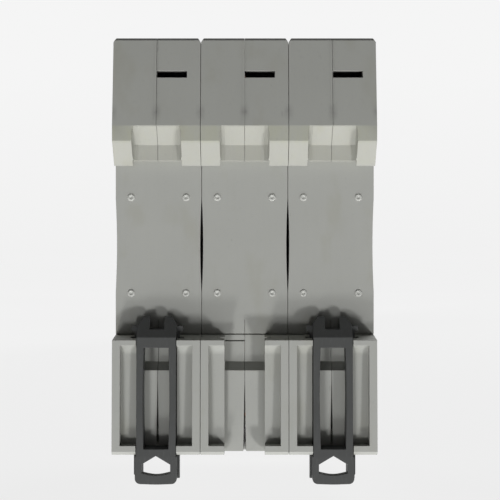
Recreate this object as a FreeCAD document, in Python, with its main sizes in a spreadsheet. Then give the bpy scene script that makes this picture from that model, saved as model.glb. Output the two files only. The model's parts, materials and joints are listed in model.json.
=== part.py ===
import FreeCAD, Part

import math
import os

import Sketcher

# Three-pole miniature circuit breaker for a 35 mm top-hat rail.
# The frame: +Z is up, -Y is the front with the toggles, +Y is the back with the rail seat.
# Y = 0 is the floor of the rail recess, and Z = 0 is the middle of the rail.
# X = 0 is the middle of the middle pole, and pole 1 is at -X.

POLES = (1, 2, 3)
CLIP_POLES = (1, 3)
SIDES = {"left": -1, "right": 1}
ENDS = {"top": 1, "bottom": -1}

# Driving dimensions, in millimetres, with angles in degrees.
DIMENSIONS = {
    # One pole's outline
    "pole_pitch": 18.0,
    "pole_gap": 0.1,
    "seam_gap": 0.06,
    "top_height": 42.6,
    "bottom_height": 42.6,
    "shoulder_depth": 44.0,
    "nose_depth": 50.0,
    "nose_height": 45.0,
    "nose_flare": 1.1,
    "front_round": 1.2,
    "top_lean": 2.4,
    "top_edge": 0.5,
    "corner_width": 0.55,
    "corner_height": 0.9,
    # Rail recess, hook and feet on the back
    "rail_height": 35.0,
    "rail_play": 1.2,
    "rail_slot": 2.0,
    "block_depth": 6.0,
    "lip_overlap": 1.1,
    "lip_tip": 0.6,
    "lip_slope": 4.8,
    "hook_flat": 3.15,
    "notch_half": 5.05,
    "notch_round": 2.0,
    "notch_step": 3.2,
    "notch_rise": 3.6,
    "notch_top_depth": 1.0,
    "foot_slope": 0.65,
    "foot_lean": 0.8,
    "foot_edge": 0.7,
    "foot_wall": 1.6,
    "foot_pocket_floor": 4.2,
    "foot_pocket_margin": 1.7,
    "foot_pocket_round": 2.0,
    "waist_depth": 0.26,
    "waist_height": 19.5,
    "waist_reach": 36.0,
    # Channel for the rail clip
    "channel_half": 4.13,
    "channel_shelf": 5.6,
    "channel_step": 2.2,
    "channel_ramp": 1.6,
    "guide_depth": 0.62,
    "guide_height": 1.4,
    "ear_depth": 1.32,
    "fine_groove": 0.25,
    "seam_gape": 0.3,
    # Walls and chambers
    "wall": 1.6,
    "side_wall": 1.5,
    "partition": 1.5,
    "terminal_chamber": 26.6,
    "terminal_back": 19.0,
    # Openings in the case
    "slot_length": 6.2,
    "slot_height": 1.45,
    "slot_drop": 7.6,
    "driver_hole": 3.2,
    "wire_half_width": 4.3,
    "wire_chamfer": 0.6,
    "wire_corner": 1.2,
    "toggle_clear": 0.35,
    "toggle_window": 10.8,
    "label_half_width": 6.6,
    "label_height": 7.5,
    "label_depth": 0.3,
    "vent_half_width": 5.4,
    "vent_width": 1.0,
    "vent_pitch": 2.6,
    # Toggle and its bar
    "toggle_width": 9.0,
    "drum_radius": 9.0,
    "drum_reveal": 0.5,
    "drum_cut": 0.4,
    "hub_radius": 5.0,
    "handle_length": 22.5,
    "handle_root": 2.6,
    "handle_end": 1.9,
    "toggle_rest": 38.0,
    "axle_radius": 1.9,
    "running": 0.05,
    "axle_end": 8.3,
    "bar_start": 15.5,
    "bar_skin": 1.5,
    "bar_margin": 1.4,
    "bar_round": 1.0,
    "grip_pitch": 2.2,
    "grip_depth": 0.35,
    # Moving contact, link and trip lever
    "pivot_span": 14.0,
    "pivot_drop": 8.0,
    "arm_link": 10.0,
    "arm_length": 18.0,
    "arm_tail": 6.5,
    "arm_front": 1.4,
    "arm_back": 1.0,
    "arm_half_width": 1.4,
    "arm_swing": 18.6,
    "arm_eye": 2.4,
    "pivot_radius": 1.4,
    "pivot_wall": 1.25,
    "button_thickness": 0.75,
    "button_height": 3.0,
    "contact_gap": 0.05,
    "link_pin": 0.6,
    "link_sheet": 0.8,
    "link_hold": 1.5,
    "eye_clear": 0.9,
    "lever_inner": 2.6,
    "lever_thickness": 1.2,
    # Magnet
    "coil_radius": 5.8,
    "coil_gap": 0.9,
    "coil_bore": 2.2,
    "coil_front": 19.6,
    "coil_back": 6.4,
    "yoke_gap": 0.4,
    "yoke_sheet": 1.2,
    "yoke_half_width": 5.0,
    "yoke_skirt": 1.4,
    "plunger_radius": 1.9,
    "plunger_clear": 0.3,
    "pin_gap": 0.8,
    # Terminals
    "plate_y": 30.6,
    "plate_sheet": 1.2,
    "plate_half_width": 3.6,
    "plate_end_gap": 0.7,
    "cage_length": 9.0,
    "cage_half_width": 5.4,
    "cage_wall": 1.4,
    "cage_front": 2.0,
    "cage_gap": 7.0,
    "cage_rest_gap": 0.2,
    "screw_radius": 2.9,
    # Thermal release
    "bimetal_sheet": 0.8,
    "bimetal_half_width": 2.2,
    "bimetal_top": 3.5,
    "bimetal_foot": 24.0,
    "lower_plate_top": 20.0,
    # Fixed contact and arc chute
    "strip_sheet": 1.2,
    "strip_half_width": 2.0,
    "strip_clear": 1.5,
    "runner_z": 4.5,
    "runner_end": 7.0,
    "plate_count": 8,
    "arc_pitch": 2.4,
    "arc_sheet": 0.8,
    "arc_top": 0.2,
    "arc_front": 16.5,
    "arc_back": 4.5,
    "arc_half_width": 6.35,
    "arc_notch": 5.0,
    "fibre": 0.8,
    # Contact spring, braid
    "spring_post": 0.8,
    "spring_post_y": 18.0,
    "spring_sheet": 0.4,
    "spring_width": 2.0,
    "braid_sheet": 0.8,
    "braid_half_width": 1.2,
    "braid_top": 10.0,
    "braid_bend": 17.0,
    # Rail clip
    "clip_play": 0.13,
    "clip_float": 0.15,
    "clip_travel": 4.0,
    "clip_face": 0.1,
    "clip_overlap": 2.8,
    "jaw_tip": 1.2,
    "jaw_front": 1.35,
    "jaw_notch": 1.5,
    "head_slope": 4.1,
    "shoulder_width": 1.1,
    "shoulder_height": 1.7,
    "notch_depth": 2.6,
    "ear_lift": 1.0,
    "ear_height": 1.1,
    "arm_bulge": 0.25,
    "window_half": 2.55,
    "window_top": 20.9,
    "window_bottom": 41.4,
    "tab_drop": 5.8,
    "tab_half": 4.25,
    "tab_round": 1.1,
    "tab_sag": 0.15,
    "tab_sag_radius": 30.0,
    "tab_sheet": 1.8,
    "tab_back_rise": 0.5,
    "clip_overhang": 0.3,
    "pull_half": 2.92,
    "pull_drop": 0.15,
    "pull_height": 4.15,
    "pull_sag_radius": 7.0,
    "pull_relief": 1.1,
}


class Size:
    """A number that also carries the sheet formula it comes from."""

    def __init__(self, value, formula):
        self.value = value
        self.formula = formula

    def __add__(self, other):
        other = size_of(other)
        return Size(self.value + other.value, f"({self.formula} + {other.formula})")

    def __sub__(self, other):
        other = size_of(other)
        return Size(self.value - other.value, f"({self.formula} - {other.formula})")

    def __mul__(self, other):
        other = size_of(other)
        return Size(self.value * other.value, f"({self.formula} * {other.formula})")

    def __truediv__(self, other):
        other = size_of(other)
        return Size(self.value / other.value, f"({self.formula} / {other.formula})")

    def __neg__(self):
        return Size(-self.value, f"(0 - {self.formula})")

    def __rsub__(self, other):
        return size_of(other) - self

    __radd__ = __add__
    __rmul__ = __mul__


def size_of(number):
    if isinstance(number, Size):
        return number
    return Size(float(number), f"({float(number)!r})")


def root(size):
    return Size(math.sqrt(size.value), f"sqrt({size.formula})")


def sine(size):
    return Size(math.sin(math.radians(size.value)), f"sin({size.formula})")


def cosine(size):
    return Size(math.cos(math.radians(size.value)), f"cos({size.formula})")


def angle_of(rise, run):
    value = math.degrees(math.atan2(rise.value, run.value))
    return Size(value, f"(atan2({rise.formula}; {run.formula}) / 1 deg)")


class Sizes:
    """Each driving dimension by its name, as a Size that points at its cell."""

    def __getattr__(self, name):
        return Size(DIMENSIONS[name], f"Sizes.{name}")


d = Sizes()


def make_sheet(doc):
    sheet = doc.addObject("Spreadsheet::Sheet", "Sizes")
    for row, (name, value) in enumerate(DIMENSIONS.items(), start=1):
        sheet.set(f"A{row}", name)
        sheet.set(f"B{row}", str(value))
        sheet.setAlias(f"B{row}", name)
    doc.recompute()
    return sheet


# Sketches and features

PLANES = {"YZ": ("YZ_Plane", 1), "XZ": ("XZ_Plane", -1), "XY": ("XY_Plane", 1)}


class Circle:
    def __init__(self, u, v, radius):
        self.u, self.v, self.radius = size_of(u), size_of(v), size_of(radius)


def bind(thing, name, size):
    thing.setExpression(name, size_of(size).formula)


def place_point(profile, index, point, u, v):
    for kind, size in (("DistanceX", u), ("DistanceY", v)):
        number = profile.addConstraint(
            Sketcher.Constraint(kind, -1, 1, index, point, size.value)
        )
        bind(profile, f"Constraints[{number}]", size)


def draw_circle(profile, circle):
    centre = FreeCAD.Vector(circle.u.value, circle.v.value, 0)
    index = profile.addGeometry(
        Part.Circle(centre, FreeCAD.Vector(0, 0, 1), circle.radius.value)
    )
    place_point(profile, index, 3, circle.u, circle.v)
    number = profile.addConstraint(
        Sketcher.Constraint("Radius", index, circle.radius.value)
    )
    bind(profile, f"Constraints[{number}]", circle.radius)


def corner_arc(before, corner, after, radius):
    """The two tangent points and the centre of a rounded corner, and its turn."""
    back = (before - corner).normalize()
    ahead = (after - corner).normalize()
    half = back.getAngle(ahead) / 2
    reach = radius / math.tan(half)
    middle = (back + ahead).normalize()
    centre = corner + middle * (radius / math.sin(half))
    turn = (corner - before).cross(after - corner).z
    return corner + back * reach, corner + ahead * reach, centre, turn


def draw_outline(profile, corners):
    """A closed outline. A corner is (u, v), or (u, v, radius) where it is rounded."""
    count = len(corners)
    sizes = [tuple(size_of(number) for number in corner) for corner in corners]
    points = [FreeCAD.Vector(c[0].value, c[1].value, 0) for c in sizes]
    starts, ends, arcs = list(points), list(points), {}
    for i, corner in enumerate(sizes):
        if len(corner) == 3:
            into, out, centre, turn = corner_arc(
                points[i - 1], points[i], points[(i + 1) % count], corner[2].value
            )
            ends[i], starts[i], arcs[i] = into, out, (centre, turn)
    lines = [
        profile.addGeometry(Part.LineSegment(starts[i], ends[(i + 1) % count]))
        for i in range(count)
    ]
    for i, corner in enumerate(sizes):
        before, after = lines[i - 1], lines[i]
        if i not in arcs:
            profile.addConstraint(
                Sketcher.Constraint("Coincident", before, 2, after, 1)
            )
            place_point(profile, after, 1, corner[0], corner[1])
            continue
        draw_corner(profile, corner, points[i], ends[i], starts[i], arcs[i], before, after)


def draw_corner(profile, corner, point, into, out, arc_data, before, after):
    centre, turn = arc_data
    first, last = (into, out) if turn > 0 else (out, into)
    circle = Part.Circle(centre, FreeCAD.Vector(0, 0, 1), corner[2].value)
    angles = [math.atan2(p.y - centre.y, p.x - centre.x) for p in (first, last)]
    arc = profile.addGeometry(Part.ArcOfCircle(circle, angles[0], angles[1]))
    tip = profile.addGeometry(Part.Point(point), True)
    entry, leave = (1, 2) if turn > 0 else (2, 1)
    profile.addConstraint(Sketcher.Constraint("Tangent", before, 2, arc, entry))
    profile.addConstraint(Sketcher.Constraint("Tangent", arc, leave, after, 1))
    place_point(profile, tip, 1, corner[0], corner[1])
    profile.addConstraint(Sketcher.Constraint("PointOnObject", tip, 1, before))
    profile.addConstraint(Sketcher.Constraint("PointOnObject", tip, 1, after))
    number = profile.addConstraint(Sketcher.Constraint("Radius", arc, corner[2].value))
    bind(profile, f"Constraints[{number}]", corner[2])


def sketch(body, plane, outlines, at=0):
    """A sketch on one of the body's own planes, moved along that plane's axis to 'at'."""
    role, normal = PLANES[plane]
    profile = body.newObject("Sketcher::SketchObject", f"{body.Name}_sketch")
    support = [f for f in body.Origin.OriginFeatures if f.Role == role][0]
    profile.AttachmentSupport = [(support, "")]
    profile.MapMode = "FlatFace"
    bind(profile, "AttachmentOffset.Base.z", size_of(at) * normal)
    for outline in outlines:
        if isinstance(outline, Circle):
            draw_circle(profile, outline)
        else:
            draw_outline(profile, outline)
    return profile


def feature(body, kind, plane, outlines, length, at, direction):
    normal = PLANES[plane][1]
    profile = sketch(body, plane, outlines, at)
    made = body.newObject(f"PartDesign::{kind}", f"{body.Name}_{kind.lower()}")
    made.Profile = profile
    bind(made, "Length", length)
    if direction == 0:
        made.SideType = "Symmetric"
    else:
        along = 1 if kind == "Pad" else -1
        made.Reversed = direction * normal * along < 0
    return made


def pad(body, plane, outlines, length, at=0, direction=0):
    """Adds material from the sketch: both ways with direction 0, else towards + or -."""
    return feature(body, "Pad", plane, outlines, length, at, direction)


def pocket(body, plane, outlines, length, at=0, direction=0):
    """Takes material away, both ways with direction 0, else towards + or -."""
    return feature(body, "Pocket", plane, outlines, length, at, direction)


def new_body(doc, name, x=0, y=0, z=0, angle=None):
    """A body whose own origin stands at x, y, z, turned about X by the angle."""
    body = doc.addObject("PartDesign::Body", name)
    body.AllowCompound = True
    for axis, size in (("x", x), ("y", y), ("z", z)):
        bind(body, f"Placement.Base.{axis}", size)
    if angle is not None:
        body.Placement.Rotation = FreeCAD.Rotation(FreeCAD.Vector(1, 0, 0), 1)
        bind(body, "Placement.Rotation.Axis.x", 1)
        bind(body, "Placement.Rotation.Axis.y", 0)
        bind(body, "Placement.Rotation.Axis.z", 0)
        bind(body, "Placement.Rotation.Angle", angle)
    return body


def box(u1, u2, v1, v2, radius=None):
    corners = [(u1, v1), (u2, v1), (u2, v2), (u1, v2)]
    if radius is None:
        return corners
    return [corner + (radius,) for corner in corners]


def pole_x(pole):
    return d.pole_pitch * (pole - 2)


# Places that several pieces share

HALF_WIDTH = (d.pole_pitch - d.pole_gap) / 2
INNER_HALF = HALF_WIDTH - d.side_wall
HOOK_CEILING = d.rail_height / 2
LIP_TOP = HOOK_CEILING - d.lip_overlap + d.lip_slope
HOOK_TOP = LIP_TOP + d.hook_flat
BLOCK_TOP = -(d.rail_height / 2 + d.rail_play)
SHELF_BOTTOM = BLOCK_TOP - d.channel_shelf
TOGGLE_Y = -(d.nose_depth - d.drum_reveal - d.drum_radius)
PIVOT_Y = TOGGLE_Y + d.pivot_span
PIVOT_Z = -d.pivot_drop
PARTITION_Z = d.terminal_chamber - d.partition
PLATE_BACK = -(d.plate_y - d.plate_sheet)
YOKE_TOP = PARTITION_Z - d.yoke_gap - d.plate_sheet * 2
COIL_Z = YOKE_TOP - d.yoke_sheet - d.coil_gap - d.coil_radius
YOKE_BOTTOM = COIL_Z - d.coil_radius - d.yoke_skirt
STRIP_TOP = COIL_Z - d.plunger_radius - d.strip_clear
BUTTON_Y = PIVOT_Y + d.arm_back + d.button_thickness + d.contact_gap
GUIDE_TOP = d.channel_step + d.guide_height

# Each end by its name: the case's reach there, the terminal's middle and the plate's end.
REACH = {"top": d.top_height, "bottom": d.bottom_height}
TERMINAL_Z = {
    name: (d.terminal_chamber + REACH[name] - d.wall) / 2 * end for name, end in ENDS.items()
}
PLATE_END = {name: (REACH[name] - d.wall - d.plate_end_gap) * end for name, end in ENDS.items()}

# The toggle's crank and the link: at ON the crank, the link and the arm's eye are in line.
EYE_RUN = d.pivot_span
EYE_RISE = d.arm_link - d.pivot_drop
ON_REACH = root(EYE_RUN * EYE_RUN + EYE_RISE * EYE_RISE)
ON_ANGLE = angle_of(EYE_RISE, EYE_RUN)
OFF_ANGLE = ON_ANGLE + d.toggle_rest * 2
OFF_RUN = d.pivot_span - d.arm_link * sine(d.arm_swing)
OFF_RISE = d.arm_link * cosine(d.arm_swing) - d.pivot_drop
OFF_ALONG = OFF_RUN * cosine(OFF_ANGLE) + OFF_RISE * sine(OFF_ANGLE)
OFF_SQUARE = OFF_RUN * OFF_RUN + OFF_RISE * OFF_RISE
CRANK = (ON_REACH * ON_REACH - OFF_SQUARE) / ((ON_REACH - OFF_ALONG) * 2)
LINK_LENGTH = ON_REACH - CRANK


# Case

def case_outline():
    """The side view of a pole, from the nose round by the top to the feet."""
    nose = d.nose_height / 2
    flare = nose + d.nose_flare
    top = d.top_height
    bottom = -d.bottom_height
    front = -d.nose_depth
    shoulder = -d.shoulder_depth
    back = d.block_depth
    curve = d.front_round
    return [
        (front, nose, curve),
        (shoulder, flare),
        (shoulder, top),
        (back - d.top_lean - d.top_edge, top),
        (back - d.top_lean, top - d.top_edge),
        (back, HOOK_TOP),
        (back, LIP_TOP),
        (d.rail_slot + d.lip_tip, HOOK_CEILING - d.lip_overlap),
        (d.rail_slot, HOOK_CEILING - d.lip_overlap),
        (d.rail_slot, HOOK_CEILING),
        (0, HOOK_CEILING),
        (0, BLOCK_TOP),
        (back, BLOCK_TOP - d.foot_slope),
        (back + d.foot_lean, bottom + d.foot_edge),
        (back + d.foot_lean - d.foot_edge, bottom),
        (shoulder, bottom),
        (shoulder, -flare),
        (front, -nose, curve),
    ]


def cavity_outlines():
    """The hollows inside a pole: the works, two terminal chambers and the room behind each."""
    nose = d.nose_height / 2 - d.wall
    nose_front = -(d.nose_depth - d.wall)
    front = -(d.shoulder_depth - d.wall)
    back = -d.wall
    terminal_back = -d.terminal_back
    rear_front = terminal_back + d.partition
    near, far_top = d.terminal_chamber, d.top_height - d.wall
    far_bottom = d.bottom_height - d.wall
    slant = d.top_lean / (d.top_height - HOOK_TOP)
    top_back = d.block_depth - d.top_lean - d.wall * 1.1
    return [
        [
            (nose_front, -nose), (nose_front, nose), (front, nose), (front, PARTITION_Z),
            (back, PARTITION_Z), (back, -PARTITION_Z), (front, -PARTITION_Z), (front, -nose),
        ],
        box(front, terminal_back, near, far_top),
        [
            (rear_front, near),
            (top_back + slant * (d.top_height - near), near),
            (top_back + slant * (d.top_height - far_top), far_top),
            (rear_front, far_top),
        ],
        box(front, terminal_back, -far_bottom, -near),
        box(rear_front, d.channel_step - d.wall, -far_bottom, -near),
    ]


def half_blank(doc):
    """A pole's right half: the outer block with its hollows."""
    body = new_body(doc, "half_blank")
    seam = d.seam_gap / 2
    pad(body, "YZ", [case_outline()], HALF_WIDTH - seam, seam, 1)
    pocket(body, "YZ", cavity_outlines(), INNER_HALF, 0, 1)
    return body


def hook_cutters(body):
    """The space between the hook's lips, with round corners and a sloping upper floor."""
    ceiling = HOOK_CEILING + d.notch_step
    far = d.block_depth * 2
    turn = d.notch_round
    start = (d.notch_half - turn, d.rail_slot + turn)
    bend = [
        (start[0] + turn * sine(size_of(30 * step)), start[1] - turn * cosine(size_of(30 * step)))
        for step in range(4)
    ]
    level = [(0, d.rail_slot)] + bend + [(d.notch_half, far), (0, far)]
    pad(body, "XY", [level], d.notch_step, ceiling, -1)
    foot = box(0, far, HOOK_CEILING - d.lip_overlap * 2, HOOK_CEILING)
    pad(body, "YZ", [foot], d.notch_half, 0, 1)
    top_y = d.block_depth - d.notch_top_depth
    slope = pad(body, "XY", [level], d.notch_rise, ceiling, 1)
    slope.UseCustomVector = True
    slope.AlongSketchNormal = True
    bind(slope, "Direction.x", 0)
    bind(slope, "Direction.y", top_y - d.rail_slot)
    bind(slope, "Direction.z", d.notch_rise)


def channel_cutters(body):
    """The way of the rail clip: a shelf, a ramp and a raised floor, with a guide groove."""
    out = d.block_depth * 2
    below = -(d.bottom_height + 1)
    above = BLOCK_TOP + 1
    ramp_end = SHELF_BOTTOM - d.channel_ramp
    way = [
        (0, BLOCK_TOP), (0, SHELF_BOTTOM), (d.channel_step, ramp_end),
        (d.channel_step, below), (out, below), (out, BLOCK_TOP),
    ]
    pad(body, "YZ", [way], d.channel_half, 0, 1)
    guide = box(d.channel_step, GUIDE_TOP, below, above)
    pad(body, "YZ", [guide], d.channel_half + d.guide_depth, 0, 1)
    ear_low = BLOCK_TOP - d.clip_travel - 0.6
    ears = box(d.channel_step, GUIDE_TOP, ear_low, above)
    pad(body, "YZ", [ears], d.channel_half + d.ear_depth, 0, 1)
    gape = [(0, ramp_end), (0, below), (d.seam_gape, below)]
    pad(body, "XZ", [gape], d.wall, d.channel_step, -1)


def foot_cutters(body):
    """The recess in each foot, open towards the channel, with a curved upper end."""
    top = BLOCK_TOP - d.foot_pocket_margin
    bottom = -(d.bottom_height - d.foot_pocket_margin - 0.2)
    out = d.block_depth * 2
    outline = [
        (d.foot_pocket_floor, top, d.foot_pocket_round), (d.foot_pocket_floor, bottom),
        (out, bottom), (out, top),
    ]
    start = d.channel_half - 0.5
    pad(body, "YZ", [outline], HALF_WIDTH - d.foot_wall - start, start, 1)


def side_cutters(body):
    """The line at the recess's foot, the hollow waist and the bevel along the top."""
    line = box(-d.fine_groove * 1.6, d.block_depth, BLOCK_TOP, BLOCK_TOP + d.fine_groove)
    pad(body, "YZ", [line], HALF_WIDTH + 1, 0, 1)
    half, out = d.waist_height / 2, HALF_WIDTH + 1
    deep = HALF_WIDTH - d.waist_depth / 0.6
    curve = [
        (out, -half), (HALF_WIDTH, -half), (deep, 0, half * half / d.waist_depth * 0.48),
        (HALF_WIDTH, half), (out, half),
    ]
    pad(body, "XZ", [curve], d.waist_reach, 0.5, -1)
    inner = HALF_WIDTH - d.corner_width
    bevel = [
        (HALF_WIDTH, d.top_height - d.corner_height), (out, d.top_height - d.corner_height),
        (out, d.top_height + 1), (inner, d.top_height + 1), (inner, d.top_height),
    ]
    pad(body, "XZ", [bevel], d.shoulder_depth * 2 + d.block_depth * 2)


def cut_corners(width, front, back, corner):
    """Half a rectangle, from the seam, with its two outer corners cut off."""
    return [
        (0, front), (width - corner, front), (width, front + corner),
        (width, back - corner), (width - corner, back), (0, back),
    ]


def terminal_cutters(body):
    """At both ends: the screwdriver hole, the wire entry and the plate's slot."""
    shoulder = -d.shoulder_depth
    holes = [Circle(0, z, d.driver_hole) for z in TERMINAL_Z.values()]
    pad(body, "XZ", holes, d.wall * 2, shoulder - d.wall / 2, 1)
    front, back = -d.plate_y, PLATE_BACK + d.cage_gap
    width, lip = d.wire_half_width, d.wire_chamfer
    entry = cut_corners(width, front, back, d.wire_corner)
    mouth = cut_corners(width + lip, front - lip, back + lip, d.wire_corner + lip / 2)
    slots = []
    for name, end in ENDS.items():
        outside = (REACH[name] + 1) * end
        pad(body, "XY", [entry], d.wall * 2 + 1, outside, -end)
        pad(body, "XY", [mouth], lip + 1, outside, -end)
        slots.append(box(
            -(d.plate_y + d.running), PLATE_BACK + d.running,
            (PARTITION_Z - 0.5) * end, (d.terminal_chamber + 0.5) * end,
        ))
    pad(body, "YZ", slots, d.plate_half_width + d.running, 0, 1)


def front_cutters(body):
    """The toggle's window, its axle socket, a shallow label field and the vent slots."""
    width = d.toggle_width / 2 + d.toggle_clear
    high = d.toggle_window
    pad(body, "XZ", [box(0, width, -high, high)], d.wall * 2, -(d.nose_depth + d.wall / 2), 1)
    low = high + 1.2
    field = box(0, d.label_half_width, low, low + d.label_height)
    pad(body, "XZ", [field], d.label_depth + 1, -(d.nose_depth + 1), 1)
    socket = Circle(TOGGLE_Y, 0, d.axle_radius + d.running)
    pad(body, "YZ", [socket], d.axle_end + d.running * 2 - INNER_HALF + 1, INNER_HALF - 1, 1)
    vents = []
    for number in range(3):
        y = -(d.terminal_back - d.partition * 2 - d.vent_width) + d.vent_pitch * number
        vents.append(box(0, d.vent_half_width, y, y + d.vent_width))
    pad(body, "XY", vents, d.wall * 2, -d.bottom_height - d.wall / 2, 1)


def cut(doc, name, base, tool):
    made = doc.addObject("Part::Cut", name)
    made.Base = base
    made.Tool = tool
    made.Refine = True
    return made


def case_halves(doc):
    """The middle pole's two halves: mirror images, but for a slot left and a slit right."""
    cutters = new_body(doc, "half_cutters")
    for add in (
        channel_cutters, foot_cutters, hook_cutters, side_cutters, terminal_cutters,
        front_cutters,
    ):
        add(cutters)
    half = cut(doc, "half_common", half_blank(doc), cutters)
    mirror = doc.addObject("Part::Mirroring", "half_mirrored")
    mirror.Source = half
    mirror.Normal = FreeCAD.Vector(1, 0, 0)
    slit_tool = new_body(doc, "slit_cutter")
    short = BLOCK_TOP - 1.1
    slit = box(-d.fine_groove * 2, d.channel_step, short - d.fine_groove, short)
    pad(slit_tool, "YZ", [slit], d.channel_half, 0, 1)
    slot_tool = new_body(doc, "slot_cutter")
    middle = d.top_height - d.slot_drop
    slot = box(-d.wall * 2, d.block_depth, middle - d.slot_height / 2, middle + d.slot_height / 2)
    pad(slot_tool, "YZ", [slot], d.slot_length, 0, -1)
    right = doc.addObject("Part::Fuse", "case_right_2")
    right.Base = cut(doc, "right_with_slit", half, slit_tool)
    right.Tool = right_posts(doc)
    return [cut(doc, "case_left_2", mirror, slot_tool), right]


def right_posts(doc):
    """The contact arm's pivot and the spring's rib, moulded on the right half's wall."""
    body = new_body(doc, "right_posts")
    end = -(d.arm_half_width + d.seam_gap * 5)
    length = INNER_HALF + d.side_wall / 2 - end
    rib = box(-d.spring_post_y - d.spring_post, -d.spring_post_y, spring_z() - 1.5, spring_z() + 1.5)
    pad(body, "YZ", [Circle(PIVOT_Y, PIVOT_Z, d.pivot_radius), rib], length, end, 1)
    return body


# Toggle and its bar

def handle_outline(grow=0):
    start = d.drum_radius - 1.5
    return [
        (-start, -(d.handle_root + grow)), (-start, d.handle_root + grow),
        (-(d.handle_length + grow), d.handle_end + grow),
        (-(d.handle_length + grow), -(d.handle_end + grow)),
    ]


def toggle(doc):
    """A drum with its handle, its crank hole and two stub axles, shown at OFF."""
    body = new_body(doc, "toggle_2", 0, TOGGLE_Y, 0, d.toggle_rest)
    pad(body, "YZ", [Circle(0, 0, d.drum_radius)], d.toggle_width)
    rear = box(-d.drum_cut, d.drum_radius + 1, -(d.drum_radius + 1), d.drum_radius + 1)
    pocket(body, "YZ", [rear], d.toggle_width + 1)
    hub = box(-d.drum_cut - 1, d.hub_radius, -d.hub_radius, d.hub_radius)
    pad(body, "YZ", [hub], d.toggle_width)
    pad(body, "YZ", [handle_outline()], d.toggle_width)
    pad(body, "YZ", [Circle(0, 0, d.axle_radius)], d.axle_end * 2)
    crank = ON_ANGLE + d.toggle_rest
    hole = Circle(CRANK * cosine(crank), CRANK * sine(crank), d.link_pin + d.running)
    pocket(body, "YZ", [hole], d.link_hold + 0.3, -d.toggle_width / 2, 1)
    return body


def toggle_tie_bar(doc):
    """The moulded bar over the three handles, with grip grooves."""
    body = new_body(doc, "toggle_tie_bar", 0, TOGGLE_Y, 0, d.toggle_rest)
    half = d.handle_end + d.bar_skin
    end = d.handle_length + d.bar_skin
    length = (d.pole_pitch + d.toggle_width / 2 + d.bar_margin) * 2
    outline = [
        (-d.bar_start, -half), (-d.bar_start, half),
        (-end, half, d.bar_round), (-end, -half, d.bar_round),
    ]
    pad(body, "YZ", [outline], length)
    for pole in POLES:
        pocket(body, "YZ", [handle_outline(d.running)], d.toggle_width + d.running * 2, pole_x(pole))
    for number in range(3):
        for face in (-1, 1):
            y = -(d.bar_start + 1.4 + d.grip_pitch * number)
            groove = [
                (y, (half + 1) * face), (y - 0.8, (half + 1) * face),
                (y - 0.8, (half - d.grip_depth) * face), (y, (half - d.grip_depth) * face),
            ]
            pocket(body, "YZ", [groove], length - 3)
    return body


# Contact arm, link and trip lever

def spring_z():
    return PIVOT_Z - d.arm_tail * cosine(d.arm_swing) + 0.8


def contact_arm(doc):
    """The moving contact, with its eye for the link, shown swung open."""
    body = new_body(doc, "contact_arm_2", 0, PIVOT_Y, PIVOT_Z, d.arm_swing)
    width = d.arm_half_width * 2
    pad(body, "YZ", [box(-d.arm_front, d.arm_back, -d.arm_tail, d.arm_length)], width)
    for z, wide in ((0, d.pivot_radius + d.pivot_wall), (d.arm_link, d.arm_eye)):
        slope = wide * 0.6
        boss = [
            (-wide, z - slope), (wide, z - slope), (wide, z + slope), (slope, z + wide),
            (-slope, z + wide), (-wide, z + slope),
        ]
        pad(body, "YZ", [boss], width)
    button = box(
        0, d.arm_back + d.button_thickness,
        d.arm_length - d.button_height - 0.3, d.arm_length - 0.3,
    )
    pad(body, "YZ", [button], width + 0.6)
    pocket(body, "YZ", [Circle(0, 0, d.pivot_radius + d.running)], width + 1)
    eye = d.link_pin + d.eye_clear
    pocket(body, "YZ", [box(-eye, eye, d.arm_link - eye, d.arm_link + eye)], width + 1)
    return body


def link(doc):
    """The steel link beside the drum: a flat bar with a pin at each end."""
    crank = OFF_ANGLE
    from_y = CRANK * cosine(crank)
    from_z = CRANK * sine(crank)
    run, rise = OFF_RUN - from_y, OFF_RISE - from_z
    body = new_body(
        doc, "link_2", 0, TOGGLE_Y + from_y, from_z, angle_of(rise, run)
    )
    pin = d.link_pin
    edge = pin * 1.6
    near = d.toggle_width / 2 + d.running * 4
    pad(body, "YZ", [box(-edge, LINK_LENGTH + edge, -edge, edge)], d.link_sheet, -near, -1)
    hub_end = d.toggle_width / 2 - d.link_hold
    pad(body, "YZ", [Circle(0, 0, pin)], near - hub_end, -hub_end, -1)
    arm_end = d.arm_half_width / 3
    pad(body, "YZ", [Circle(LINK_LENGTH, 0, pin)], near - arm_end, -arm_end, -1)
    return body


def trip_lever(doc):
    """The lever that the plunger or the bimetal pushes, on the contact arm's post."""
    body = new_body(doc, "trip_lever_2", 0, PIVOT_Y, PIVOT_Z)
    inner, sheet = d.lever_inner, d.lever_thickness
    top = COIL_Z - PIVOT_Z
    back = PLUNGER_END - d.pin_gap - PIVOT_Y
    front = -(d.plate_y + d.bimetal_sheet) - 0.8 - PIVOT_Y
    low, high = 2.0, 4.2
    outline = [
        (-1.2, -1.6), (1.2, -1.6), (back, top - 1.6), (back, top + 1.6),
        (back - 1.5, top + 1.6), (-1.2, high + 1), (-1.2, high), (front - 1.2, high),
        (front - 1.2, low), (-1.2, low),
    ]
    pad(body, "YZ", [outline], sheet, inner, 1)
    around = d.pivot_radius + d.pivot_wall
    pad(body, "YZ", [box(-around, around, -around, around)], sheet, inner, 1)
    pad(body, "YZ", [box(back - 1.5, back, top - 1.6, top + 1.6)], inner + sheet + 1.5, -1.5, 1)
    pad(body, "YZ", [box(front - 1.2, front, low, high)], inner + sheet - 0.5, 0.5, 1)
    pocket(body, "YZ", [Circle(0, 0, d.pivot_radius + d.running)], sheet + 2, inner - 1, 1)
    return body


# Magnet

PLUNGER_END = -(d.coil_front + d.yoke_gap + d.yoke_sheet + 2.0)


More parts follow.
